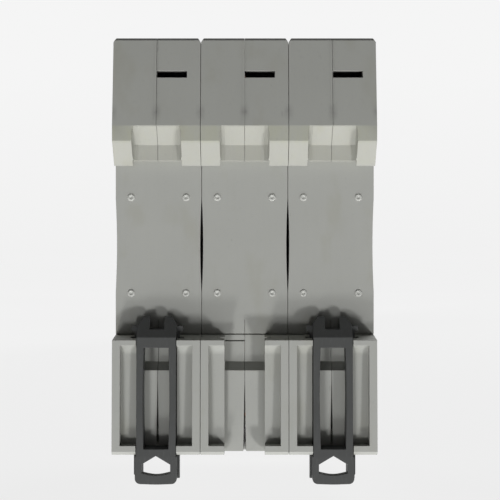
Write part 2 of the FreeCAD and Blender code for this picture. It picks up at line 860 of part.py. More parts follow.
def coil(doc):
    """The winding on its bobbin, with a square bore for the plunger."""
    body = new_body(doc, "coil_2", 0, 0, COIL_Z)
    bore = d.coil_bore
    tube = [Circle(0, 0, d.coil_radius), box(-bore, bore, -bore, bore)]
    pad(body, "XZ", tube, d.coil_front - d.coil_back, -d.coil_front, 1)
    return body


def coil_yoke(doc):
    """The bent steel frame round the coil, with the plunger's slot in front."""
    body = new_body(doc, "coil_yoke_2")
    front = -(d.coil_front + d.yoke_gap)
    back = -(d.coil_back - d.yoke_gap)
    sheet = d.yoke_sheet
    outline = [
        (front - sheet, YOKE_BOTTOM), (front, YOKE_BOTTOM), (front, YOKE_TOP - sheet),
        (back, YOKE_TOP - sheet), (back, YOKE_BOTTOM), (back + sheet, YOKE_BOTTOM),
        (back + sheet, YOKE_TOP), (front - sheet, YOKE_TOP),
    ]
    pad(body, "YZ", [outline], d.yoke_half_width * 2)
    half = d.plunger_radius + d.plunger_clear
    slot = box(-half, half, YOKE_BOTTOM - 1, COIL_Z + half)
    pocket(body, "XZ", [slot], sheet * 3, front - sheet * 2, 1)
    return body


def plunger(doc):
    """The steel rod that the coil throws forward against the trip lever."""
    body = new_body(doc, "plunger_2", 0, 0, COIL_Z)
    back = -(d.coil_back + 0.2)
    pad(body, "XZ", [Circle(0, 0, d.plunger_radius)], back - PLUNGER_END, back, -1)
    return body


# Terminals

def upper_plate(doc):
    """The line terminal's plate, bent over the top of the yoke."""
    body = new_body(doc, "upper_plate_2")
    front, sheet = -d.plate_y, d.plate_sheet
    end, rest = PLATE_END["top"], -d.coil_back - 2.6
    outline = [
        (front, end), (front, YOKE_TOP), (rest, YOKE_TOP),
        (rest, YOKE_TOP + sheet), (front + sheet, YOKE_TOP + sheet), (front + sheet, end),
    ]
    pad(body, "YZ", [outline], d.plate_half_width * 2)
    return body


def lower_plate(doc):
    """The load terminal's plate, which carries the bimetal."""
    body = new_body(doc, "lower_plate_2")
    outline = box(-d.plate_y, PLATE_BACK, PLATE_END["bottom"], -d.lower_plate_top)
    pad(body, "YZ", [outline], d.plate_half_width * 2)
    return body


def terminal_cage(doc, end_name):
    """The box clamp: a tunnel for the wire, with the screw's hole in its front wall."""
    body = new_body(doc, f"terminal_cage_{end_name}_2", 0, 0, TERMINAL_Z[end_name])
    half, wall = d.cage_half_width, d.cage_wall
    back = PLATE_BACK + d.cage_gap
    inner_front = -d.plate_y - d.cage_rest_gap
    front = inner_front - d.cage_front
    outer = box(-half, half, front, back + wall)
    inner = box(-(half - wall), half - wall, inner_front, back)
    pad(body, "XY", [outer, inner], d.cage_length)
    hole = Circle(0, 0, d.screw_radius + d.running)
    pocket(body, "XZ", [hole], d.cage_front + 1, front - 0.5, 1)
    return body


def terminal_screw(doc, end_name):
    """The clamping screw, behind the shoulder's hole. Its end turns against the plate."""
    body = new_body(doc, f"terminal_screw_{end_name}_2", 0, 0, TERMINAL_Z[end_name])
    front = -(d.shoulder_depth - d.wall) + d.cage_rest_gap
    back = -d.plate_y - d.contact_gap
    pad(body, "XZ", [Circle(0, 0, d.screw_radius)], back - front, front, 1)
    return body


# Thermal release, fixed contact and arc chute

def bimetal(doc):
    body = new_body(doc, "bimetal_2")
    outline = box(
        -(d.plate_y + d.bimetal_sheet), -d.plate_y, -d.bimetal_foot, -d.bimetal_top
    )
    pad(body, "YZ", [outline], d.bimetal_half_width * 2)
    return body


def fixed_contact(doc):
    """The fixed contact, its foot on the yoke and its runner over the arc chute."""
    body = new_body(doc, "fixed_contact_2")
    front = BUTTON_Y + d.button_thickness
    sheet = d.strip_sheet
    yoke_front = -(d.coil_front + d.yoke_gap + d.yoke_sheet)
    low = d.runner_z - sheet
    outline = [
        (front, low), (front, STRIP_TOP), (yoke_front, STRIP_TOP),
        (yoke_front, STRIP_TOP - sheet), (front + sheet, STRIP_TOP - sheet),
        (front + sheet, d.runner_z), (-d.runner_end, d.runner_z), (-d.runner_end, low),
    ]
    pad(body, "YZ", [outline], d.strip_half_width * 2)
    middle = PIVOT_Z + d.arm_length - 0.3 - d.button_height / 2
    half = d.button_height / 2
    button = box(-half, half, middle - half, middle + half)
    pad(body, "XZ", [button], d.button_thickness, BUTTON_Y, 1)
    return body


def arc_plates(doc):
    """The stack of steel plates that splits the arc, each with a notch in front."""
    body = new_body(doc, "arc_plates_2")
    half, front, back = d.arc_half_width, -d.arc_front, -d.arc_back
    tip = front + d.arc_notch
    outline = [
        (-half, front), (-half, back), (half, back), (half, front),
        (half * 0.45, front), (0, tip), (-half * 0.45, front),
    ]
    top = d.arc_top
    first = pad(body, "XY", [outline], d.arc_sheet, top, -1)
    pattern = body.newObject("PartDesign::LinearPattern", f"{body.Name}_pattern")
    pattern.Originals = [first]
    pattern.Direction = (first.Profile[0], ["N_Axis"])
    pattern.Reversed = True
    bind(pattern, "Length", d.arc_pitch * (d.plate_count - 1))
    bind(pattern, "Occurrences", d.plate_count)
    body.Tip = pattern
    return body


def arc_chute_frame(doc):
    """The fibre frame that holds the plates at their sides and back."""
    body = new_body(doc, "arc_chute_frame_2")
    half, front, back = d.arc_half_width, -d.arc_front, -d.arc_back
    fibre = d.fibre
    outline = [
        (half, front), (half, back), (-half, back), (-half, front), (-half - fibre, front),
        (-half - fibre, back + fibre), (half + fibre, back + fibre), (half + fibre, front),
    ]
    height = d.arc_pitch * (d.plate_count - 1) + d.arc_sheet + 2
    pad(body, "XY", [outline], height, d.arc_top + 1, -1)
    return body


# Springs and braid

def toggle_spring(doc):
    """The flat spring beside the toggle's drum that turns it back to OFF."""
    body = new_body(doc, "toggle_spring_2", 0, TOGGLE_Y)
    inner = d.axle_radius + 0.3
    start = d.toggle_width / 2 + 0.3
    strip = box(inner, inner + d.spring_sheet, -d.drum_radius, d.hub_radius)
    pad(body, "YZ", [strip], d.spring_width, start, 1)
    return body


def contact_spring(doc):
    """The flat spring that pulls the arm's tail to its rib and so opens the contacts."""
    body = new_body(doc, "contact_spring_2", 0, 0, spring_z())
    post = -d.spring_post_y - d.spring_post
    tail = PIVOT_Y + d.arm_tail * sine(d.arm_swing) + d.arm_back * cosine(d.arm_swing)
    sheet = d.spring_sheet / 2
    pad(body, "YZ", [box(tail, post, -sheet, sheet)], d.spring_width)
    return body


def braid(doc):
    """The flat braid that hangs in a loop from the bimetal to the arm's tail."""
    body = new_body(doc, "braid_2")
    sheet = d.braid_sheet
    left = -d.plate_y
    right = PIVOT_Y + d.arm_tail * sine(d.arm_swing) - 0.2
    turn = (right - left) / 3
    low = -d.braid_bend - turn
    tail_z = PIVOT_Z - (d.arm_tail + 0.6) * cosine(d.arm_swing)
    inner = sheet / 2
    outline = [
        (left, -d.braid_top), (left, low + turn), (left + turn, low), (right - turn, low),
        (right, low + turn), (right, tail_z), (right - sheet, tail_z),
        (right - sheet, low + turn + inner), (right - turn - inner, low + sheet),
        (left + turn + inner, low + sheet), (left + sheet, low + turn + inner),
        (left + sheet, -d.braid_top),
    ]
    pad(body, "YZ", [outline], d.braid_half_width * 2)
    return body


# Rail clip

def rail_clip(doc):
    """The clip that holds the rail's lower edge, with its window, jaws and pull tab."""
    body = new_body(doc, "rail_clip_2")
    inner = d.channel_step + d.clip_float
    face = d.block_depth - d.clip_face
    low_face = face + d.foot_lean
    jaw = -(d.rail_height / 2 - d.clip_overlap)
    jaw_root = SHELF_BOTTOM + d.clip_travel - d.clip_float
    body_bottom = -(d.bottom_height + d.clip_overhang)
    half = d.channel_half - d.clip_play
    bar = [
        (d.jaw_front, jaw), (d.jaw_front + d.jaw_tip, jaw), (face, jaw - d.head_slope),
        (low_face, body_bottom), (inner, body_bottom), (inner, jaw_root),
        (d.jaw_front, jaw_root),
    ]
    pad(body, "YZ", [bar], half * 2)
    guide_top = inner + d.guide_height - d.clip_float * 2
    flange = half + d.guide_depth
    tab_bottom = -(d.bottom_height + d.tab_drop)
    ear = half + d.ear_depth
    ear_low = BLOCK_TOP + d.ear_lift
    plates = (
        box(-flange, flange, tab_bottom + d.tab_back_rise, ear_low),
        box(-ear, ear, ear_low, ear_low + d.ear_height),
    )
    for plate in plates:
        pad(body, "XZ", [plate], guide_top - inner, inner, 1)
    clip_tab(body, low_face, flange, tab_bottom, body_bottom)
    clip_openings(body, low_face - d.tab_sheet)
    clip_head(body, half, jaw)
    return body


def clip_tab(body, low_face, flange, tab_bottom, body_bottom):
    """The pull tab below the case: a narrow plate in front of a wider one."""
    narrow, curve = d.tab_half, d.tab_round
    inner = d.channel_step + d.clip_float
    outline = [
        (-narrow, body_bottom), (narrow, body_bottom), (narrow, tab_bottom, curve),
        (0, tab_bottom - d.tab_sag, d.tab_sag_radius), (-narrow, tab_bottom, curve),
    ]
    pad(body, "XZ", [outline], low_face - inner, inner, 1)
    low = tab_bottom + d.tab_back_rise
    wide = [
        (-flange, body_bottom), (flange, body_bottom), (flange, low + curve),
        (flange - curve, low), (-flange + curve, low), (-flange, low + curve),
    ]
    pad(body, "XZ", [wide], low_face - d.tab_sheet - inner, inner, 1)


def clip_openings(body, tab_back):
    """The long window between the two arms, and the pull hole, wider behind the tab."""
    half, outer = d.window_half, d.block_depth * 2
    middle = -(d.window_top + d.window_bottom) / 2
    tall = (d.window_bottom - d.window_top) / 2
    bulge_radius = tall * tall / d.arm_bulge * 0.45
    window = [
        (-half, -d.window_bottom), (half, -d.window_bottom),
        (half + d.arm_bulge, middle, bulge_radius), (half, -d.window_top),
        (-half, -d.window_top), (-half - d.arm_bulge, middle, bulge_radius),
    ]
    pocket(body, "XZ", [window], outer, 0, 1)
    top = -(d.bottom_height + d.pull_drop)
    side_z = top - d.pull_height * 0.42
    low_z = top - d.pull_height * 0.84
    hole = [
        (0, top), (d.pull_half, side_z), (d.pull_half, low_z),
        (0, top - d.pull_height, d.pull_sag_radius), (-d.pull_half, low_z),
        (-d.pull_half, side_z),
    ]
    pocket(body, "XZ", [hole], outer, 0, 1)
    relief = box(-d.pull_half, d.pull_half, top - d.pull_height - d.pull_relief / 2, side_z)
    pocket(body, "XZ", [relief], tab_back, 0, 1)


def clip_head(body, half, jaw):
    """The notch that parts the two jaws, and the head's sloping shoulders."""
    outer = d.block_depth * 2
    above = jaw + d.jaw_tip
    low = jaw - d.shoulder_height
    cuts = [box(-d.jaw_notch, d.jaw_notch, jaw - d.notch_depth, above)]
    for side in (-1, 1):
        cuts.append([
            (half * side, low), ((half + d.jaw_tip) * side, low),
            ((half + d.jaw_tip) * side, above), ((half - d.shoulder_width) * side, above),
            ((half - d.shoulder_width) * side, jaw),
        ])
    pocket(body, "XZ", cuts, outer, 0, 1)


# The whole assembly

PER_POLE = (
    toggle, contact_arm, link, trip_lever, coil, plunger, bimetal, fixed_contact,
    arc_plates, arc_chute_frame,
)

GROUPED = {
    "coil_yokes": coil_yoke,
    "upper_terminal_plates": upper_plate,
    "lower_terminal_plates": lower_plate,
    "toggle_springs": toggle_spring,
    "contact_springs": contact_spring,
    "braids": braid,
}


def copy_to(doc, source, pole):
    """A copy of a middle piece in another pole."""
    body = doc.addObject("PartDesign::Body", f"{source.Label[:-2]}_{pole}")
    body.AllowCompound = True
    base = body.newObject("PartDesign::FeatureBase", f"{body.Name}_base")
    base.BaseFeature = source
    base.setExpression("Placement", f"{source.Name}.Placement")
    body.Tip = base
    bind(body, "Placement.Base.x", pole_x(pole))
    return body


def group(doc, name, members):
    together = doc.addObject("Part::Compound", name)
    together.Links = members
    return together


def build(doc):
    """Makes every piece and returns them by the name of their node."""
    middle = case_halves(doc) + [make(doc) for make in PER_POLE]
    for end_name in ENDS:
        middle += [terminal_cage(doc, end_name), terminal_screw(doc, end_name)]
    nodes = list(middle)
    for pole in (1, 3):
        nodes += [copy_to(doc, source, pole) for source in middle]
    clip = rail_clip(doc)
    nodes += [copy_to(doc, clip, pole) for pole in CLIP_POLES]
    nodes.append(toggle_tie_bar(doc))
    for name, make in GROUPED.items():
        piece = make(doc)
        others = [copy_to(doc, piece, pole) for pole in (1, 3)]
        nodes.append(group(doc, name, [piece] + others))
    return nodes


def check(doc, nodes):
    """Stops if anything failed to build, or if a cut took nothing away."""
    for thing in doc.Objects:
        if "Invalid" in thing.State or "Error" in thing.State:
            raise RuntimeError(f"{thing.Name} failed: {thing.State}")
        kind = thing.TypeId
        before = thing.Base if kind == "Part::Cut" else getattr(thing, "BaseFeature", None)
        gain = thing.Shape.Volume - before.Shape.Volume if before else 0
        if kind in ("PartDesign::Pocket", "Part::Cut") and gain > -1e-6:
            raise RuntimeError(f"{thing.Name} took nothing away")
        if kind == "PartDesign::Pad" and before and gain < 1e-6:
            raise RuntimeError(f"{thing.Name} added nothing")
    for node in nodes:
        if node.Shape.isNull() or not node.Shape.isValid() or not node.Shape.Solids:
            raise RuntimeError(f"{node.Label} has no valid solid")


def main():
    doc = FreeCAD.newDocument("circuit_breaker")
    make_sheet(doc)
    nodes = build(doc)
    doc.recompute()
    check(doc, nodes)
    os.makedirs("parts", exist_ok=True)
    for node in nodes:
        node.Shape.exportStep(f"parts/{node.Label}.step")
    print(len(nodes), "parts written")


main()
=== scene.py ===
"""The looks of a three-pole circuit breaker for a top-hat rail, seen from its back.

The packed model holds the shape and place of every piece. This file adds what is too fine for it:
screw heads and threads, rivets, pips, seam tongues, printed numbers and the finish of each surface.
It then sets the stage. Lengths are in metres, +Z is up, and the rail side is +Y.
"""

import json
import math

import bmesh
import bpy
from mathutils import Matrix, Vector


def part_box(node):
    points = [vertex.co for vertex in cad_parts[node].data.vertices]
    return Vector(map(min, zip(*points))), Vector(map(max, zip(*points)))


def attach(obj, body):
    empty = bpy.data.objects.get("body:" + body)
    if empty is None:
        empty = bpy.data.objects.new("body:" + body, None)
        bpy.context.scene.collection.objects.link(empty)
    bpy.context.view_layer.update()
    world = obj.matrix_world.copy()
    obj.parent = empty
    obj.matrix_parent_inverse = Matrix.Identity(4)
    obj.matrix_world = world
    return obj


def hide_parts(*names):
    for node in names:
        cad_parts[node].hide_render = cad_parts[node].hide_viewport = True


bl_info = {
    "name": "Circuit breaker looks",
    "version": (1, 0, 0),
    "blender": (4, 5, 0),
    "location": "View3D > Sidebar > Breaker",
    "description": "Dresses the packed model of a three-pole circuit breaker",
    "category": "Object",
}

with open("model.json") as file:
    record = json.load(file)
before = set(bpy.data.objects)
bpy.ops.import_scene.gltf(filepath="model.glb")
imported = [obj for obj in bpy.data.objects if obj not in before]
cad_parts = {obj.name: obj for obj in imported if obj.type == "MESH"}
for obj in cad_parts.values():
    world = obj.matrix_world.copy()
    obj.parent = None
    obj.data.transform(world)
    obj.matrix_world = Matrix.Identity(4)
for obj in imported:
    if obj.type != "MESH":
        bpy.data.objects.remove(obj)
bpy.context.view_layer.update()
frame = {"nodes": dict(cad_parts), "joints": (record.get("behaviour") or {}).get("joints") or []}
NODES = frame["nodes"]

MM = 0.001
POLES = (1, 2, 3)
ENDS = ("top", "bottom")
SIDES = {"left": -1, "right": 1}
POLE_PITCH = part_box("toggle_2")[0].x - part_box("toggle_1")[0].x

# The front face of the shoulders that carry the terminal numbers
SHOULDER = -44 * MM

# Heights on the back: the hook's upper edge, its lip's lower end, the dirt above it, and the rail
# recess from its foot to its top
HOOK_EDGE = 24.1 * MM
LIP_END = 16.0 * MM
SMUDGE_HEIGHT = HOOK_EDGE + 3.0 * MM
RECESS_FOOT = -15.6 * MM
RECESS_TOP = 17.4 * MM

# What lies further back than this on the hook is its face, and the rest is the notch
NOTCH_DEPTH = 5.6 * MM

# How far the top of the back leans forwards, and how far under its top edge the seam is filled
TOP_LEAN = 2.4 * MM
TOP_MARGIN = 0.6 * MM

# The gap between two case halves, and the strip that closes it in the rail recess
SEAM = 0.06 * MM
FLUSH = 0.004 * MM
STRIP_RADIUS = 0.16 * MM

# The metals: the clean colour, and the tint of its spots
COPPER = (0.78, 0.37, 0.20), (0.52, 0.24, 0.14)
STEEL = (0.60, 0.60, 0.60), (0.42, 0.41, 0.39)
ZINC = (0.74, 0.72, 0.66), (0.66, 0.60, 0.44)

# A rivet and a pip, ring by ring: each ring's rise, and its width as a share of the last one's
RIVET_RINGS = (
    (0.35 * MM, 1.0), (0.22 * MM, 0.86), (0.08 * MM, 0.82),
    (-0.05 * MM, 0.78), (-0.18 * MM, 0.86), (-0.30 * MM, 0.96),
)
PIP_RINGS = (
    (0.10 * MM, 0.93), (0.13 * MM, 0.80), (0.03 * MM, 0.78),
    (-0.10 * MM, 0.62), (-0.10 * MM, 0.60),
)


def frame_axis(joint):
    """The point that a joint turns about."""
    found = next(item for item in frame["joints"] if item["name"] == joint)
    return Vector(found["pos_m"])


def node_middle(name):
    """The middle of a packed node's box."""
    low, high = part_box(name)
    return (low + high) / 2


# Sizes and colours that a user would change


class CaseLooks(bpy.types.PropertyGroup):
    """Colour and grain of the moulded case."""

    colour: bpy.props.FloatVectorProperty(
        name="Case colour", description="Pale warm grey of the mouldings", subtype="COLOR",
        default=(0.398, 0.403, 0.378), min=0, max=1,
    )
    # This colour, darkened, is also used for the dirt and painted shade in the case's grooves.
    grime: bpy.props.FloatVectorProperty(
        name="Grime colour", description="Tint that handling leaves on the case",
        subtype="COLOR", default=(0.32, 0.315, 0.25), min=0, max=1,
    )
    grain: bpy.props.FloatProperty(
        name="Grain", description="Width of the mould's spark-eroded grain",
        default=0.28 * MM, unit="LENGTH",
    )
    tongue_depth: bpy.props.FloatProperty(
        name="Tongue depth", description="How far the seam's tongue lies under the back",
        default=0.03 * MM, unit="LENGTH",
    )
    edge: bpy.props.FloatProperty(
        name="Edge radius", description="Radius of the moulded edges",
        default=0.13 * MM, unit="LENGTH",
    )


class PlasticLooks(bpy.types.PropertyGroup):
    """Colours of the darker mouldings."""

    clip: bpy.props.FloatVectorProperty(
        name="Clip colour", description="Dark grey of the rail clips", subtype="COLOR",
        default=(0.061, 0.063, 0.062), min=0, max=1,
    )
    toggle: bpy.props.FloatVectorProperty(
        name="Toggle colour", description="Near black of the toggles and their bar",
        subtype="COLOR", default=(0.024, 0.025, 0.027), min=0, max=1,
    )
    inner: bpy.props.FloatVectorProperty(
        name="Inner plastic", description="Black of the mouldings inside", subtype="COLOR",
        default=(0.03, 0.03, 0.033), min=0, max=1,
    )
    fibre: bpy.props.FloatVectorProperty(
        name="Fibre", description="Red-brown of the arc chute's fibre", subtype="COLOR",
        default=(0.33, 0.12, 0.07), min=0, max=1,
    )
    print_colour: bpy.props.FloatVectorProperty(
        name="Print", description="Dark grey of the printed numbers", subtype="COLOR",
        default=(0.055, 0.057, 0.06), min=0, max=1,
    )
    mark: bpy.props.FloatVectorProperty(
        name="Toggle marks", description="White of the marks on the toggles",
        subtype="COLOR", default=(0.78, 0.78, 0.76), min=0, max=1,
    )


class ScrewSizes(bpy.types.PropertyGroup):
    """Sizes of the terminal screws."""

    pitch: bpy.props.FloatProperty(
        name="Thread pitch", description="From one thread to the next", default=0.8 * MM,
        unit="LENGTH",
    )
    head: bpy.props.FloatProperty(
        name="Head height", description="Length of the plain head", default=2.6 * MM,
        unit="LENGTH",
    )
    slot_width: bpy.props.FloatProperty(
        name="Slot width", description="Width of the long slot across the head",
        default=0.85 * MM, unit="LENGTH",
    )
    slot_depth: bpy.props.FloatProperty(
        name="Slot depth", description="Depth of the slot and the cross", default=1.3 * MM,
        unit="LENGTH",
    )
    cross_reach: bpy.props.FloatProperty(
        name="Cross reach", description="Half the width of the cross recess",
        default=1.75 * MM, unit="LENGTH",
    )


class RivetSizes(bpy.types.PropertyGroup):
    """Sizes of the rivets in the two outer walls and of the pips on the back."""

    head: bpy.props.FloatProperty(
        name="Rivet radius", description="Radius of a rivet's rolled head",
        default=2.15 * MM, unit="LENGTH",
    )
    sink: bpy.props.FloatProperty(
        name="Sink radius", description="Radius of the round recess about a rivet",
        default=2.9 * MM, unit="LENGTH",
    )
    sink_depth: bpy.props.FloatProperty(
        name="Sink depth", description="Depth of the recess about a rivet",
        default=0.9 * MM, unit="LENGTH",
    )
    pip: bpy.props.FloatProperty(
        name="Pip radius", description="Radius of a round pip on the back",
        default=0.8 * MM, unit="LENGTH",
    )
    pip_across: bpy.props.FloatProperty(
        name="Pip distance", description="From a pole's seam to its pips",
        default=5.73 * MM, unit="LENGTH",
    )
    pip_up: bpy.props.FloatProperty(
        name="Pip height", description="From the rail's middle to the pips",
        default=10.0 * MM, unit="LENGTH",
    )


class StageSizes(bpy.types.PropertyGroup):
    """The camera, the lamps and the floor."""

    distance: bpy.props.FloatProperty(
        name="Camera distance", description="From the recess floor to the camera",
        default=0.218, unit="LENGTH",
    )
    lens: bpy.props.FloatProperty(
        name="Lens", description="Focal length on a 36 mm sensor", default=75.1,
        unit="CAMERA",
    )
    floor: bpy.props.FloatProperty(
        name="Floor height", description="Height of the floor", default=-0.053,
        unit="LENGTH",
    )
    key: bpy.props.FloatProperty(
        name="First lamp", description="Power of the lamp at the low left of the back",
        default=0.71, unit="POWER",
    )
    second: bpy.props.FloatProperty(
        name="Second lamp", description="Power of the lamp at the low right of the back",
        default=1.27, unit="POWER",
    )
    under: bpy.props.FloatProperty(
        name="Under lamp", description="Power of the lamp that shines up steeply",
        default=0.82, unit="POWER",
    )
    front: bpy.props.FloatProperty(
        name="Front lamps", description="Power of each soft lamp over the toggles",
        default=4.0, unit="POWER",
    )
    sky: bpy.props.FloatProperty(
        name="Sky", description="Strength of the even light from all sides", default=0.01,
    )
    bounce: bpy.props.FloatProperty(
        name="Bounce", description="Strength of the soft light from straight below",
        default=1.40,
    )


# Node materials, written as expressions


class Socket:
    """A node's output that works in Python arithmetic: each operator adds a Math node."""

    def __init__(self, tree, output):
        self.tree = tree
        self.output = output

    def __add__(self, other):
        return self.tree.math("ADD", self, other)

    def __sub__(self, other):
        return self.tree.math("SUBTRACT", self, other)

    def __rsub__(self, other):
        return self.tree.math("SUBTRACT", other, self)

    def __mul__(self, other):
        return self.tree.math("MULTIPLY", self, other)

    def __gt__(self, other):
        return self.tree.math("GREATER_THAN", self, other)

    def clamp(self):
        return self.tree.math("ADD", self, 0.0, clamp=True)

    __radd__ = __add__


class Tree:
    """A node tree being written. One method adds any node."""

    def __init__(self, owner):
        owner.use_nodes = True
        self.nodes = owner.node_tree.nodes
        self.links = owner.node_tree.links
        self.nodes.clear()

    def add(self, kind, settings=None, sockets=None, result=0):
        node = self.nodes.new(kind)
        for name, value in (settings or {}).items():
            setattr(node, name, value)
        for key, value in (sockets or {}).items():
            if isinstance(value, Socket):
                self.links.new(value.output, node.inputs[key])
            else:
                node.inputs[key].default_value = value
        return Socket(self, node.outputs[result])

    def math(self, operation, *values, clamp=False):
        settings = {"operation": operation, "use_clamp": clamp}
        return self.add("ShaderNodeMath", settings, dict(enumerate(values)))

    def end(self, kind, shader):
        node = self.nodes.new(kind)
        self.links.new(shader.output, node.inputs[0])

    def place(self, stretch=(1, 1, 1)):
        """The point on the piece, squeezed along each axis by the stretch."""
        here = self.add("ShaderNodeTexCoord", result="Object")
        return self.add("ShaderNodeMapping", None, {"Vector": here, "Scale": stretch})

    def axis(self, vector, name):
        """One coordinate of a vector."""
        return self.add("ShaderNodeSeparateXYZ", None, {0: vector}, name)

    def noise(self, size, detail=2.0, stretch=(1, 1, 1)):
        """Soft noise about 0.5, whose patches are about 'size' across."""
        sockets = {"Vector": self.place(stretch), "Scale": 1 / size, "Detail": detail}
        return self.add("ShaderNodeTexNoise", None, sockets)

    def patches(self, size, start, end, detail=2.0, stretch=(1, 1, 1)):
        """0 where the noise is under 'start' and 1 where it is over 'end'."""
        sockets = {"Value": self.noise(size, detail, stretch), 1: start, 2: end}
        return self.add("ShaderNodeMapRange", {"interpolation_type": "SMOOTHSTEP"}, sockets)

    def blend(self, factor, first, second, mode="MIX"):
        """Two colours, mixed by a factor."""
        settings = {"data_type": "RGBA", "blend_type": mode}
        return self.add("ShaderNodeMix", settings, {0: factor, 6: first, 7: second}, 2)

    def over(self, colour, mask, strength, top):
        """A colour with another laid over it where the mask is, at a strength."""
        return self.blend(mask * strength, colour, top)

    def corner(self, radius):
        """The normal as if every edge were rounded, and a mask of the edges."""
        edge_gain = 6.0
        rounded = self.add("ShaderNodeBevel", {"samples": 6}, {"Radius": radius})
        flat = self.add("ShaderNodeNewGeometry", result="Normal")
        along = self.add(
            "ShaderNodeVectorMath", {"operation": "DOT_PRODUCT"}, {0: rounded, 1: flat}, 1
        )
        return rounded, ((1 - along) * edge_gain).clamp()

    def crevice(self, reach):
        """1 deep in a groove and 0 on an open face."""
        opened = self.add(
            "ShaderNodeAmbientOcclusion", {"samples": 8}, {"Distance": reach}, "AO"
        )
        return (1 - opened).clamp()

    def bump(self, height, distance, strength, normal):
        sockets = {
            "Height": height, "Distance": distance, "Strength": strength, "Normal": normal,
        }
        return self.add("ShaderNodeBump", None, sockets)


def opaque(colour):
    return tuple(colour) + (1.0,)


def grey(level):
    return (level, level, level, 1.0)


def shade(colour, factor):
    """A colour made lighter or darker, as four numbers."""
    return tuple(min(1.0, channel * factor) for channel in colour) + (1.0,)


def new_finish(name):
    material = bpy.data.materials.new(name)
    return material, Tree(material)


def surface(tree, sockets):
    """Ends a material in a Principled shader with these sockets."""
    shader = tree.add("ShaderNodeBsdfPrincipled", None, sockets)
    tree.end("ShaderNodeOutputMaterial", shader)


def seam_smudge(tree):
    """Dirt gathered on each seam and between the poles, a little above the fixed hook."""
    half_width, half_height = 1.1 * MM, 1.9 * MM
    patch, strength = 1.4 * MM, 1.6
    seam_pitch = POLE_PITCH / 2
    here = tree.place()
    from_seam = tree.math("PINGPONG", tree.axis(here, "X"), seam_pitch / 2)
    beside = (1 - from_seam * (1 / half_width)).clamp()
    from_height = tree.math("ABSOLUTE", tree.axis(here, "Z") - SMUDGE_HEIGHT)
    level = (1 - from_height * (1 / half_height)).clamp()
    behind = tree.axis(here, "Y") > 0.0
    return beside * level * behind * (tree.noise(patch, 3.0) * strength)


def past(coordinate, start_at, blur):
    """0 up to a place along one axis, and 1 beyond it, with a soft change between."""
    return ((coordinate - start_at) * (1 / blur)).clamp()


def hook_wear(tree):
    """Masks: a warmer tint on the hook, painted shade on the slope above it, and a lighter notch in
    the hook.
    """
    off_recess, notch_share = 0.15 * MM, 0.4
    here = tree.place()
    height = tree.axis(here, "Z")
    behind = tree.axis(here, "Y") > off_recess
    above_edge = past(height, HOOK_EDGE, blur=0.4 * MM)
    above_lip = past(height, LIP_END, blur=0.8 * MM)
    streaks = tree.patches(1.3 * MM, 0.30, 0.75, 3.0, stretch=(1, 1, 0.3))
    on_hook = (1 - above_edge) * above_lip * behind
    outer = past(tree.axis(here, "Y"), NOTCH_DEPTH, blur=0.3 * MM)
    # A warmer tint on the hook, in streaks, weaker in the notch.
    warmer_hook = on_hook * (outer * (1 - notch_share) + notch_share) * (streaks * 0.5 + 0.5)
    return warmer_hook, above_edge * behind, on_hook * (1 - outer)


def case_finish(looks, name, edge_radius):
    """Pale grey polyamide: cloudy, faintly streaked from top to bottom, with faint stains from
    handling, dirt and painted shade in its grooves, and painted shade on the slope above the hook.
    """
    warm_tint = (1.02, 1.02, 0.90, 1.0)
    slope_shade_tint = (0.93, 0.93, 0.925, 1.0)
    lighter_notch_tint = (1.08, 1.07, 1.06, 1.0)
    material, tree = new_finish(name)
    rounded, edge = tree.corner(edge_radius)
    cloud = tree.noise(13 * MM, 3.0)
    colour = tree.blend(cloud, shade(looks.colour, 0.955), shade(looks.colour, 1.045))
    streak = tree.noise(1.1 * MM, 2.0, stretch=(1, 1, 0.06))
    colour = tree.over(colour, streak, 0.10, shade(looks.colour, 0.72))
    speck = tree.patches(looks.grain * 2.2, 0.60, 0.74)
    colour = tree.over(colour, speck, 0.10, shade(looks.colour, 0.62))
    stain = tree.patches(7 * MM, 0.53, 0.72, 4.0, stretch=(1, 1, 0.6))
    colour = tree.over(colour, stain, 0.26, opaque(looks.grime))
    scuff = tree.patches(1.7 * MM, 0.70, 0.79, 3.0, stretch=(1, 1, 0.45))
    colour = tree.over(colour, scuff, 0.28, shade(looks.colour, 0.55))
    colour = tree.over(colour, seam_smudge(tree), 0.7, shade(looks.colour, 0.5))
    warmer_hook, dull, inside = hook_wear(tree)
    # The hook tinted warmer.
    colour = tree.blend(warmer_hook, colour, warm_tint, "MULTIPLY")
    # Painted shade: the slope above the hook is darkened, as it faces away from the light from
    # below.
    colour = tree.blend(dull, colour, slope_shade_tint, "MULTIPLY")
    # The notch in the hook made a little lighter.
    colour = tree.blend(inside, colour, lighter_notch_tint, "MULTIPLY")
    # Dirt and painted shade deep in the grooves, in a darkened stain colour.
    colour = tree.over(colour, tree.crevice(1.6 * MM), 0.30, shade(looks.grime, 0.55))
    colour = tree.over(colour, edge, 0.16, shade(looks.colour, 1.25))
    grain = tree.noise(looks.grain, 3.0)
    sink = tree.noise(6 * MM, 1.0)
    normal = tree.bump(grain, 0.02 * MM, 0.30, rounded)
    normal = tree.bump(sink, 0.05 * MM, 0.35, normal)
    surface(tree, {
        "Base Color": colour, "Roughness": 0.50 + grain * 0.14 + stain * 0.08,
        "Specular IOR Level": 0.22, "Normal": normal,
    })
    return material


